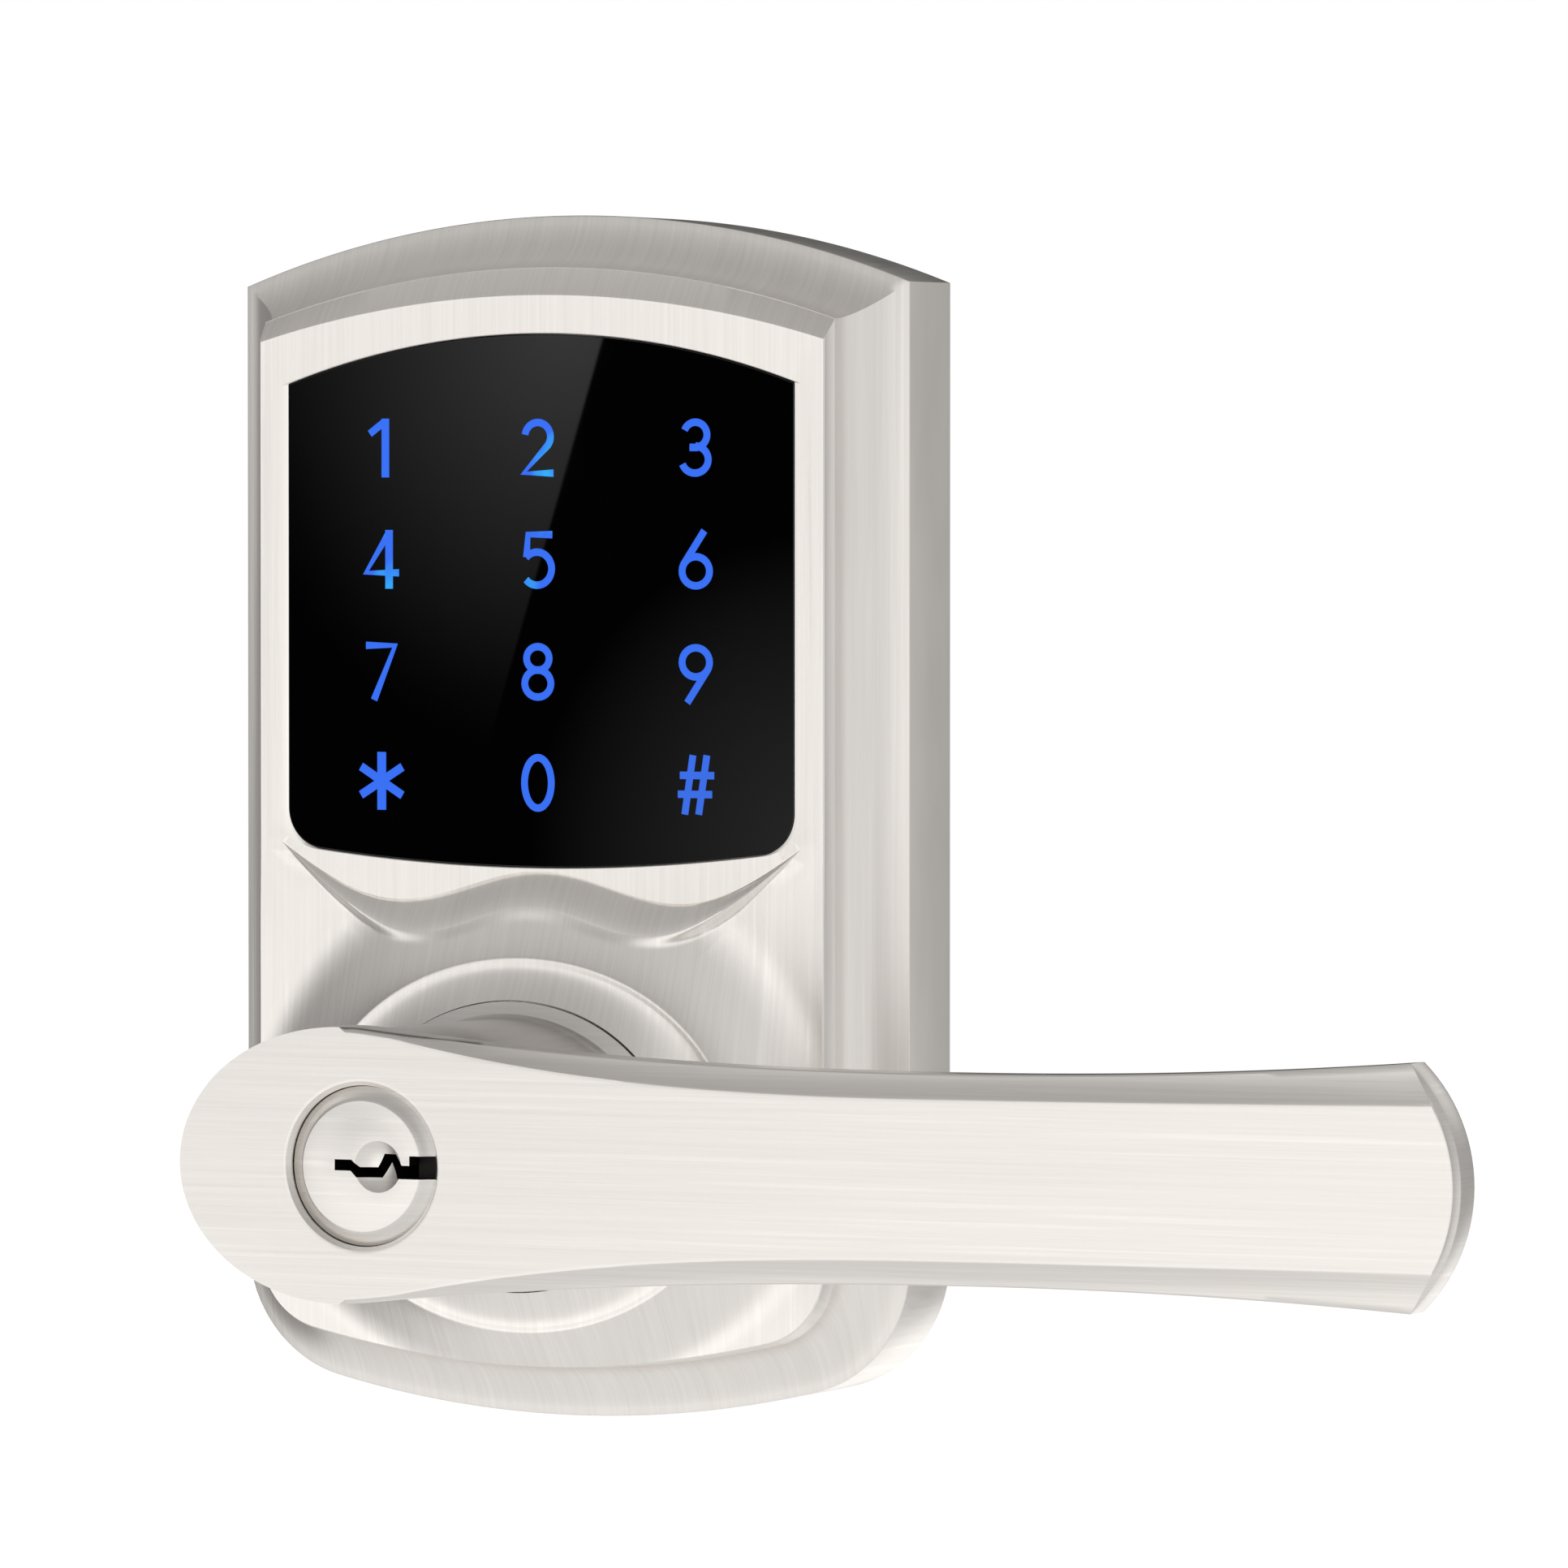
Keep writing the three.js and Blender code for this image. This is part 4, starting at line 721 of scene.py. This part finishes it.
    # the boss: a bright rounded rim, a shallow hollow cone and the collar round the bore
    unit = [(x / o, z / o) for (x, z), o in zip(ends, outer)]
    for shrink, rise in boss["rimSection"]:
        points = [(x * (i - shrink), z * (i - shrink)) for (x, z), i in zip(unit, inner)]
        ring = growRow(bm, ring, points, rimOut + rise)
    collar = [ellipseReach(boss["collar"], x, z) for x, z in unit]
    collarOut = -housingLow.y
    lipWidth = boss["rimSection"][-1][0]
    for share in boss["coneShares"]:
        reach = [i - lipWidth + (c - i + lipWidth) * share for i, c in zip(inner, collar)]
        points = [(x * r, z * r) for (x, z), r in zip(unit, reach)]
        ring = growRow(bm, ring, points, boss["rimOut"] + (collarOut - boss["rimOut"]) * share ** boss["conePower"])
    groove = [(x * (c - 0.1), z * (c - 0.1)) for (x, z), c in zip(unit, collar)]
    collarOut -= boss["groove"]
    ring = growRow(bm, ring, groove, collarOut)
    bore = [(x * (hubRadius + 0.15), z * (hubRadius + 0.15)) for x, z in unit]
    ring = growRow(bm, ring, bore, collarOut)
    ring = growRow(bm, ring, bore, boss["pocketOut"])
    # inside: the pocket, the ceiling, the cavity and back to the rim
    pocket = newLoop(bm, ellipse(*boss["pocket"], 96), boss["pocketOut"])
    fillBetween(bm, joinedEdges(bm, ring), joinedEdges(bm, pocket))
    row = growRow(bm, pocket, ellipse(*boss["pocket"], 96), plate["ceilingOut"])
    ceiling = newLoop(bm, panelOutline(1), plate["ceilingOut"])
    fillBetween(bm, joinedEdges(bm, row), joinedEdges(bm, window), joinedEdges(bm, ceiling))
    shelfOut = plate["skirtOut"] - plate["skirtWall"]
    ceiling = growRow(bm, ceiling, panelOutline(1), shelfOut)
    row = growRow(bm, ceiling, plateOutline(plate["skirtWall"]), shelfOut)
    row = growRow(bm, row, plateOutline(plate["skirtWall"]), plate["rimOut"] + 0.3)
    row = growRow(bm, row, plateOutline(plate["skirtWall"] - 0.3), plate["rimOut"])
    bmesh.ops.bridge_loops(bm, edges=joinedEdges(bm, row) + joinedEdges(bm, rim))
    return finishMesh(bm, "escutcheonShell")


shell = escutcheonShell()
dress(shell, plateNickel, "escutcheon", "satin_nickel", "escutcheon_housing")
print("escutcheon ready", len(shell.data.polygons))


def touchPane():
    bm = bmesh.new()
    frontOut, backOut = plate["panelOut"] - 0.05, -glassHigh.y
    back = newLoop(bm, glassOutline(-0.1), backOut)
    row = growRow(bm, back, glassOutline(0), backOut + 0.1)
    row = growRow(bm, row, glassOutline(0), frontOut - 0.1)
    row = growRow(bm, row, glassOutline(-0.03), frontOut - 0.03)
    front = growRow(bm, row, glassOutline(-0.1), frontOut)
    for face in (back, front):
        fillBetween(bm, joinedEdges(bm, face))
    return finishMesh(bm, "touchPane", sharp=12)


def blackGlass():
    finish = Finish("blackGlass", (0.001, 0.001, 0.0012), 0.01, IOR=1.5)
    haze = finish.noise(finish.place(), 90, 3)
    finish.feed("Roughness", 0.004 + haze * 0.01)
    finish.feed("Base Color", finish.mix(haze, (0.0003, 0.0003, 0.0004), (0.0012, 0.0012, 0.0016)))
    return finish.material


dress(touchPane(), blackGlass(), "escutcheon", "black_glass", "touch_glass")

legends = {
    "columns": (-19.6, -0.1, 19.35),
    "rows": (77.7, 65.2, 52.7, 40.3),
    "order": "123456789*0#",
    "halfStroke": 0.48,
    "thickness": 0.03,
    "starWidth": 1.16,
}


def sweep(centreX, centreZ, halfX, halfZ, start, end, steps=28):
    turn = [math.radians(start + (end - start) * i / steps) for i in range(steps + 1)]
    return [(centreX + halfX * math.cos(t), centreZ + halfZ * math.sin(t)) for t in turn]


strokes = {
    "1": [[(0.5, -3.3), (0.5, 3.3)], [(-1.45, 1.6), (0.4, 2.95)]],
    "2": [sweep(0, 1.25, 1.58, 1.58, 172, -38) + [(-1.75, -2.82), (1.95, -2.82)]],
    "3": [sweep(-0.05, 1.42, 1.42, 1.4, 158, -88) + [(-0.75, 0.03)], sweep(-0.1, -1.32, 1.62, 1.5, 88, -160)],
    "4": [[(0.95, -3.3), (0.95, 3.3)], [(0.95, 3.0), (-1.95, -1.5), (2.2, -1.5)]],
    "5": [[(1.8, 2.82), (-1.2, 2.82), (-1.4, 0.3)], sweep(-0.1, -0.98, 1.82, 1.85, 138, -138)],
    "6": [sweep(0, -1.2, 1.68, 1.62, 0, 360), [(-1.5, -0.45), (1.05, 3.3)]],
    "7": [[(-1.95, 2.82), (1.7, 2.82), (-0.95, -3.3)]],
    "8": [sweep(0, 1.5, 1.4, 1.32, 0, 360), sweep(0, -1.3, 1.62, 1.52, 0, 360)],
    "9": [sweep(0, 1.2, 1.68, 1.62, 0, 360), [(1.5, 0.45), (-1.05, -3.3)]],
    "0": [sweep(0, 0, 1.66, 2.82, 0, 360, 40)],
    "*": [[(0, -3.25), (0, 3.25)], [(-2.6, -1.6), (2.6, 1.6)], [(-2.6, 1.6), (2.6, -1.6)]],
    "#": [
        [(-1.35, -3.3), (-0.35, 3.3)],
        [(0.35, -3.3), (1.35, 3.3)],
        [(-1.95, 1.05), (2.25, 1.05)],
        [(-2.2, -1.05), (2.0, -1.05)],
    ],
}


def litLegends():
    curve = bpy.data.curves.new("keypadLegends", "CURVE")
    curve.dimensions = "3D"
    curve.bevel_depth = legends["halfStroke"]
    curve.bevel_resolution = 1
    curve.use_fill_caps = True
    for number, sign in enumerate(legends["order"]):
        centreX, centreZ = legends["columns"][number % 3], legends["rows"][number // 3]
        for stroke in strokes[sign]:
            closed = math.dist(stroke[0], stroke[-1]) < 0.01
            points = stroke[:-1] if closed else stroke
            spline = curve.splines.new("POLY")
            spline.points.add(len(points) - 1)
            spline.use_cyclic_u = closed
            for point, (x, z) in zip(spline.points, points):
                point.co = (centreX + x, 0, centreZ + z, 1)
                point.radius = legends["starWidth"] if sign == "*" else 1
    drawn = bpy.data.objects.new("legendCurve", curve)
    bpy.context.scene.collection.objects.link(drawn)
    mesh = evaluatedMesh(drawn)
    bpy.data.objects.remove(drawn)
    flat = legends["thickness"] / legends["halfStroke"]
    mesh.transform(Matrix.Diagonal((1, flat, 1, 1)))
    mesh.transform(Matrix.Translation((0, 0.05 - plate["panelOut"], 0)))
    mesh.transform(Matrix.Scale(mm, 4))
    piece = bpy.data.objects.new("keypadLegends", mesh)
    bpy.context.scene.collection.objects.link(piece)
    return piece


def blueLight():
    finish = Finish("blueLight", (0.01, 0.02, 0.1), 0.5, Emission_Strength=1, Specular_IOR_Level=0)
    patch = finish.noise(finish.place(), 190, 2)
    x, z = finish.acrossAndUp()
    near = finish.spread(x, 8, 12, 1, 0) * finish.spread(z, 56, 60, 0, 1)
    cyan = finish.spread(patch, 0.5, 0.66, 0, 1) * near
    dim = finish.spread(x + (60 - z), 20, 46, 0, 0.45)
    blue = finish.mix(dim, (0.035, 0.15, 0.84), (0.05, 0.13, 0.5))
    finish.feed("Emission Color", finish.mix(cyan, blue, (0.03, 0.42, 0.88)))
    return finish.material


lit = litLegends()
lit.visible_glossy = False
dress(lit, blueLight(), "escutcheon", "frosted_plastic")
print("touch panel ready")


lever = {
    "faceOut": 65,
    "backOut": 59,
    "hub": (19.4, 15),
    "hubX": -2.7,
    "waistX": 72,
    "waistHalf": 11.2,
    "tipHalf": 13,
    "tipArc": 17.9,
    "tipRise": 0.85,
    "endInset": 0.45,
    "bevelX": 4,
    "bevelWaist": 8.55,
    "bevelTip": 8.65,
    "bevelDepth": 1.3,
    "edgeRound": 0.6,
    "backRound": 1.0,
    "mouth": 9.3,
    "socket": 8.75,
    "shoulderOut": 62.7,
    "barrel": 8.7,
    "barrelOut": 36.57,
    "shank": 10.65,
    "pinSlot": (15.55, 3.65),
    "setScrewHole": (2.65, 12),
}
# The neck's sections: share of its length, half width, half height above and below, middle.
neck = [
    (0.0, 19.6, 16.2, 16.2, 0.0),
    (0.016, 18.7, 15.5, 16.0, 0.0),
    (0.035, 17.8, 14.85, 15.85, 0.0),
    (0.065, 17.25, 14.45, 15.75, 0.0),
    (0.12, 17.1, 14.35, 15.7, 0.0),
    (0.35, 17.3, 14.45, 15.3, 0.0),
    (0.65, 17.9, 14.5, 14.8, -0.6),
    (1.0, 18.7, 14.2, 14.2, -1.6),
]
hubSteps, gripSteps, endSteps, mouthSteps, neckSteps = 36, 84, 28, 128, 112
lobeX = lever["hubX"] + 0.14 * lever["hub"][0]
riseFrom = 20
gripSpan = leverHigh.x - riseFrom
tipSideX = leverHigh.x - lever["tipArc"] + math.sqrt(lever["tipArc"] ** 2 - lever["tipHalf"] ** 2)
faceTipX = leverHigh.x - lever["tipArc"] + math.sqrt(lever["tipArc"] ** 2 - lever["bevelTip"] ** 2)


def hubHalfAt(x):
    return lever["hub"][1] * math.sqrt(max(0, 1 - ((x - lever["hubX"]) / lever["hub"][0]) ** 2))


def outerHalf(x):
    if x < lobeX:
        return hubHalfAt(x)
    if x < lever["waistX"]:
        share = (lever["waistX"] - x) / (lever["waistX"] - lobeX)
        return lever["waistHalf"] + (hubHalfAt(lobeX) - lever["waistHalf"]) * share**2.26
    share = (x - lever["waistX"]) / (tipSideX - lever["waistX"])
    return lever["waistHalf"] + (lever["tipHalf"] - lever["waistHalf"]) * share**2


def faceHalf(x):
    outer = outerHalf(x) - lever["edgeRound"]
    if x < lever["bevelX"]:
        return outer
    start = outerHalf(lever["bevelX"]) - lever["edgeRound"]
    if x < lever["waistX"]:
        share = (lever["waistX"] - x) / (lever["waistX"] - lever["bevelX"])
        return min(outer, lever["bevelWaist"] + (start - lever["bevelWaist"]) * share**2.7)
    share = (x - lever["waistX"]) / (faceTipX - lever["waistX"])
    return min(outer, lever["bevelWaist"] + (lever["bevelTip"] - lever["bevelWaist"]) * share**2)


# A ring round the lever, counterclockwise from its left end, pulled in by an inset.
def leverRing(half, endHalf, inset, endInset=0):
    halfX, halfZ = lever["hub"][0] - inset, lever["hub"][1] - inset
    tipArc = lever["tipArc"] - endInset
    endX = leverHigh.x - lever["tipArc"] + math.sqrt(tipArc**2 - endHalf**2)
    top = []
    for i in range(1, hubSteps + 1):
        turn = math.pi / 2 * i / hubSteps
        top.append((lever["hubX"] - halfX * math.cos(turn), halfZ * math.sin(turn)))
    for i in range(1, gripSteps + 1):
        x = lever["hubX"] + (endX - lever["hubX"]) * (i / gripSteps) ** 1.15
        top.append((x, half(x) - inset))
    reach = tipArc - inset
    angle = math.asin((endHalf - inset) / reach)
    end = arc((leverHigh.x - lever["tipArc"], 0), reach, angle, -angle, endSteps)[1:-1]
    bottom = [(x, -z) for x, z in reversed(top)]
    ring = [(x, z + lever["tipRise"] * max(0, (x - riseFrom) / gripSpan) ** 1.3) for x, z in top + end + bottom]
    return list(reversed([(lever["hubX"] - halfX, 0)] + ring))


def bodyRing(inset):
    return leverRing(outerHalf, lever["tipHalf"], inset)


def faceRing(inset):
    return leverRing(faceHalf, lever["bevelTip"], inset, lever["endInset"])


def leverBody():
    bm = bmesh.new()
    faceOut, backOut, backRound = lever["faceOut"], lever["backOut"], lever["backRound"]
    back = newLoop(bm, bodyRing(backRound), backOut)
    row = back
    for turn in (22.5, 45, 67.5, 90):
        lean = math.radians(turn)
        row = growRow(bm, row, bodyRing(backRound * (1 - math.sin(lean))), backOut + backRound * (1 - math.cos(lean)))
    bevelOut = faceOut - lever["bevelDepth"]
    row = growRow(bm, row, bodyRing(0), bevelOut - 0.12)
    # the bevel: hollow along the grip, a small round over the hub
    outer, face = bodyRing(0), faceRing(0)
    for share in (0.06, 0.2, 0.35, 0.5, 0.65, 0.8, 0.92, 0.98):
        points, outs = [], []
        for (x, z), (fx, fz) in zip(outer, face):
            grip = blendOf(1, 15, x)
            hubTurn = math.pi / 2 * share
            across = (1 - grip) * (1 - math.cos(hubTurn)) + grip * share
            climb = (1 - grip) * math.sin(hubTurn) + grip * (0.55 * share + 0.45 * share * share)
            points.append((x + (fx - x) * across, z + (fz - z) * across))
            outs.append(bevelOut + lever["bevelDepth"] * climb)
        row = growRow(bm, row, points, outs)
    for inset in (0.1, 0.35):
        row = growRow(bm, row, faceRing(inset), faceOut)
    # the face with the mouth of the key cylinder
    around = newLoop(bm, circle(lever["mouth"] + 0.2, mouthSteps), faceOut)
    fillBetween(bm, joinedEdges(bm, row), joinedEdges(bm, around))
    hole = growRow(bm, around, circle(lever["mouth"], mouthSteps), faceOut)
    walls = [(9.16, faceOut - 0.05), (8.8, faceOut - 0.5)]
    walls += [(lever["socket"], faceOut - 0.56), (lever["socket"], lever["shoulderOut"])]
    for radius, out in walls:
        hole = growRow(bm, hole, circle(radius, mouthSteps), out)
    reachX, reachZ = lever["pinSlot"]
    slot = []
    for x, z in circle(1, mouthSteps):
        side = min(reachX / max(-x, 1e-6), reachZ / max(abs(z), 1e-6)) if x < 0 else 0
        reach = max(lever["barrel"], side)
        slot.append((x * reach, z * reach))
    hole = growRow(bm, hole, slot, lever["shoulderOut"] - 0.01)
    hole = growRow(bm, hole, slot, lever["barrelOut"])
    hole = growRow(bm, hole, circle(lever["shank"], mouthSteps), lever["barrelOut"] - 0.01)
    footOut = -leverHigh.y
    hole = growRow(bm, hole, circle(lever["shank"], mouthSteps), footOut)
    # the neck, from its foot by the escutcheon up to the lever's back
    row = newLoop(bm, ellipse(neck[0][1] - 0.05, neck[0][2] - 0.05, neckSteps), footOut)
    fillBetween(bm, joinedEdges(bm, hole), joinedEdges(bm, row))
    depth = backOut - footOut
    shares = [0.008, 0.016, 0.025, 0.035, 0.049, 0.065, 0.09, 0.12]
    shares += [0.12 + 0.88 * step / 20 for step in range(1, 21)]
    for share in shares:
        high = next(i for i, stage in enumerate(neck) if stage[0] >= share - 1e-9)
        start, end = neck[high - 1], neck[high]
        local = (share - start[0]) / (end[0] - start[0])
        halfX, above, below, centre = (a + (b - a) * local for a, b in zip(start[1:], end[1:]))
        swell = 0.8 * max(0, (share - 0.88) / 0.12) ** 2
        section = ellipse(halfX - swell, 1, neckSteps, centre)
        points = [(x, z * ((above if z > 0 else below) - swell)) for x, z in section]
        row = growRow(bm, row, points, footOut + share * depth)
    fillBetween(bm, joinedEdges(bm, row), joinedEdges(bm, back))
    return finishMesh(bm, "leverBody")


def setScrewHole():
    screwLow, screwHigh = boxInMm("set_screw")
    radius, depth = lever["setScrewHole"]
    bm = bmesh.new()
    bmesh.ops.create_cone(bm, cap_ends=True, segments=48, radius1=radius, radius2=radius, depth=depth)
    middle = (screwLow.y + screwHigh.y) / 2
    bmesh.ops.translate(bm, verts=bm.verts, vec=(0, middle, screwHigh.z - depth / 2))
    return bm


leverPiece = leverBody()
cutAway(leverPiece, setScrewHole())
dress(leverPiece, leverNickel, "lever", "satin_nickel_lever", "lever_handle")
print("lever ready", len(leverPiece.data.polygons))


plug = {
    "body": 6.3,
    "head": 8.7,
    "face": 7.1,
    "bevel": 1.0,
    "headDepth": 2.3,
    "keywayDepth": 7,
    "keywayEnd": 5.9,
    "keywayUpper": [(-3.2, 0.7), (-1.2, 0.7), (-0.3, -0.1), (1.6, -0.1), (2.5, 1.4), (4.1, 1.4), (4.9, 0.2)],
    "keywayMouth": [(5.8, 0.2), (5.8, 1.25), (9.6, 1.25), (9.6, -1.25), (4.3, -1.25)],
    "keywayLower": [(3.4, 0.5), (2.2, -1.2), (-0.6, -1.2), (-1.3, -0.5), (-3.2, -0.5)],
    "dimple": (2, 4.6, 0.95),
}


def keyPlug():
    face, tail = -plugLow.y, -plugHigh.y
    shoulder = face - plug["headDepth"]
    rimOut = face - plug["bevel"]
    body, head, flat = plug["body"], plug["head"], plug["face"]
    profile = [(0, tail), (body - 0.3, tail), (body, tail + 0.3), (body, tail + 1.1), (body - 1, tail + 1.1)]
    profile += [(body - 1, tail + 1.95), (body, tail + 1.95), (body, shoulder), (head, shoulder)]
    profile += [(head, rimOut - 0.15), (head - 0.05, rimOut - 0.03), (head - 0.12, rimOut + 0.02)]
    profile += [(8.1, rimOut + 0.2), (7.55, rimOut + 0.62), (flat + 0.06, face - 0.05), (flat - 0.08, face), (0, face)]
    piece = finishMesh(turned(profile, 128), "keyPlug")
    dimpleX, radius, depth = plug["dimple"]
    ball = bmesh.new()
    bmesh.ops.create_uvsphere(ball, u_segments=96, v_segments=64, radius=radius)
    bmesh.ops.translate(ball, verts=ball.verts, vec=(dimpleX, -(face - depth + radius), 0))
    outline = plug["keywayUpper"] + plug["keywayMouth"] + plug["keywayLower"]
    cutAway(piece, ball, prism(outline, shoulder + 0.12, face + 1))
    narrow = [(min(x, plug["keywayEnd"]), z) for x, z in outline]
    cutAway(piece, prism(narrow, face - plug["keywayDepth"], face + 0.5))
    return piece


# The keyway's walls and floor take the piece's second material, a near-black painted shade standing in for the shade
# deep in the keyway.
def paintKeywayShade(piece):
    piece.data.materials.append(plainMetal("keywayPaintedShade", (0.03, 0.028, 0.026), 0.6))
    face = -plugLow.y
    floorOut = face - plug["keywayDepth"] - 0.1
    for side in piece.data.polygons:
        middle = side.center / mm
        inKeyway = abs(middle.z) < 1.6 and math.hypot(middle.x, middle.z) < plug["head"] - 0.02
        inward = abs(side.normal.y) < 0.5 or -middle.y < face - 1.2
        if inKeyway and inward and -middle.y > floorOut:
            side.material_index = 1


plugPiece = keyPlug()
dress(plugPiece, plugNickel, "plug", "satin_nickel_plug", "cylinder_plug")
paintKeywayShade(plugPiece)
print("key plug ready")


def middleOf(node):
    low, high = boxInMm(node)
    return ((low.x + high.x) / 2, (low.z + high.z) / 2)


def mountPost(node):
    low, high = boxInMm(node)
    end, front = -high.y, -low.y
    shoulder = front - 8
    profile = [(0, end + 14), (2.1, end + 13), (2.1, end + 0.6), (2.6, end), (3.5, end), (4, end + 0.5), (4, shoulder)]
    profile += [(2.5, shoulder), (2.5, shoulder + 0.8)]
    thread = shoulder + 0.8
    while thread < front - 1.2:
        profile += [(2.5, thread + 0.1), (2.1, thread + 0.4), (2.5, thread + 0.7)]
        thread += 0.8
    profile += [(2.1, front), (0, front)]
    return finishMesh(turned(profile, 64, middleOf(node)), node.replace("_", "") + "Turned")


def plateScrew(node):
    low, high = boxInMm(node)
    head, tip = -high.y, -low.y
    profile = [(0, head), (2.0, head), (2.6, head + 0.25), (2.8, head + 0.75), (1.5, head + 0.8)]
    thread = head + 1
    while thread < tip - 1.6:
        profile += [(1.5, thread + 0.3), (1.15, thread + 0.55), (1.5, thread + 0.8)]
        thread += 0.8
    profile += [(0.4, tip), (0, tip)]
    piece = finishMesh(turned(profile, 40, middleOf(node)), node.replace("_", "") + "Turned")
    x, z = middleOf(node)
    for halfX, halfZ in ((1.4, 0.3), (0.3, 1.4)):
        signs = ((-1, -1), (1, -1), (1, 1), (-1, 1))
        corners = [(x + sideX * halfX, z + sideZ * halfZ) for sideX, sideZ in signs]
        cutAway(piece, prism(corners, head - 1, head + 0.5))
    return piece


def squareSpindle():
    low, high = boxInMm("spindle")
    half, end, front = high.x, -high.y, -low.y
    corner = 0.35
    bm = bmesh.new()
    row = None
    for out, inset in ((end, 1.2), (end + 0.35, 0.5), (end + 1.2, 0), (front - 0.3, 0), (front, 0.3)):
        points = []
        for turn, (sideX, sideZ) in enumerate(((1, 1), (-1, 1), (-1, -1), (1, -1))):
            reach = half - inset - corner
            points += arc((sideX * reach, sideZ * reach), corner, turn * math.pi / 2, (turn + 1) * math.pi / 2, 4)
        if row is None:
            row = newLoop(bm, points, out)
            fillBetween(bm, joinedEdges(bm, row))
        else:
            row = growRow(bm, row, points, out)
    fillBetween(bm, joinedEdges(bm, row))
    return finishMesh(bm, "squareSpindle")


def rubberGrommet():
    low, high = boxInMm("cable_grommet")
    back, front = -high.y, -low.y
    outer = (high.x - low.x) / 2
    profile = [(3.4, back + 0.25), (3.6, back + 0.05), (3.9, back), (outer - 0.3, back), (outer, back + 0.25)]
    profile += [(outer - 0.05, back + 0.55), (outer - 1, back + 0.62), (outer - 1, front - 0.92)]
    profile += [(outer - 0.05, front - 0.85), (outer, front - 0.5), (outer - 0.3, front - 0.05)]
    profile += [(3.9, front), (3.6, front - 0.05), (3.4, front - 0.25)]
    return finishMesh(turned(profile, 64, middleOf("cable_grommet")), "rubberGrommet")


for node in ("mount_post_left", "mount_post_right"):
    dress(mountPost(node), zinc, "escutcheon", "zinc_steel", node)
for number in range(1, 5):
    node = f"plate_screw_{number}"
    dress(plateScrew(node), zinc, "escutcheon", "zinc_steel", node)
dress(squareSpindle(), plateSteel, "drive", "plate_steel", "spindle")
dress(rubberGrommet(), rubber, "escutcheon", "black_rubber", "cable_grommet")

# The CAD pieces that stay, each in the finish of its slot.
finishOfSlot = {
    "black_rubber": rubber,
    "frosted_plastic": frosted,
    "circuit_board": board,
    "black_plastic": blackPlastic,
    "white_plastic": acetal,
    "zinc_steel": zinc,
    "plate_steel": plateSteel,
    "bearing_brass": brass,
    "spring_steel": springSteel,
    "motor_can": motorCan,
    "satin_nickel": plateNickel,
    "satin_nickel_lever": leverNickel,
    "satin_nickel_plug": plugNickel,
    "black_glass": blackPlastic,
}
for part in frame["record"]["subparts"]:
    cad = frame["nodes"][part["node"]]
    finish = finishOfSlot[part["material_slot"]]
    if cad.data.materials:
        for place in cad.material_slots:
            place.material = finish
    else:
        cad.data.materials.append(finish)
print("finishes ready")
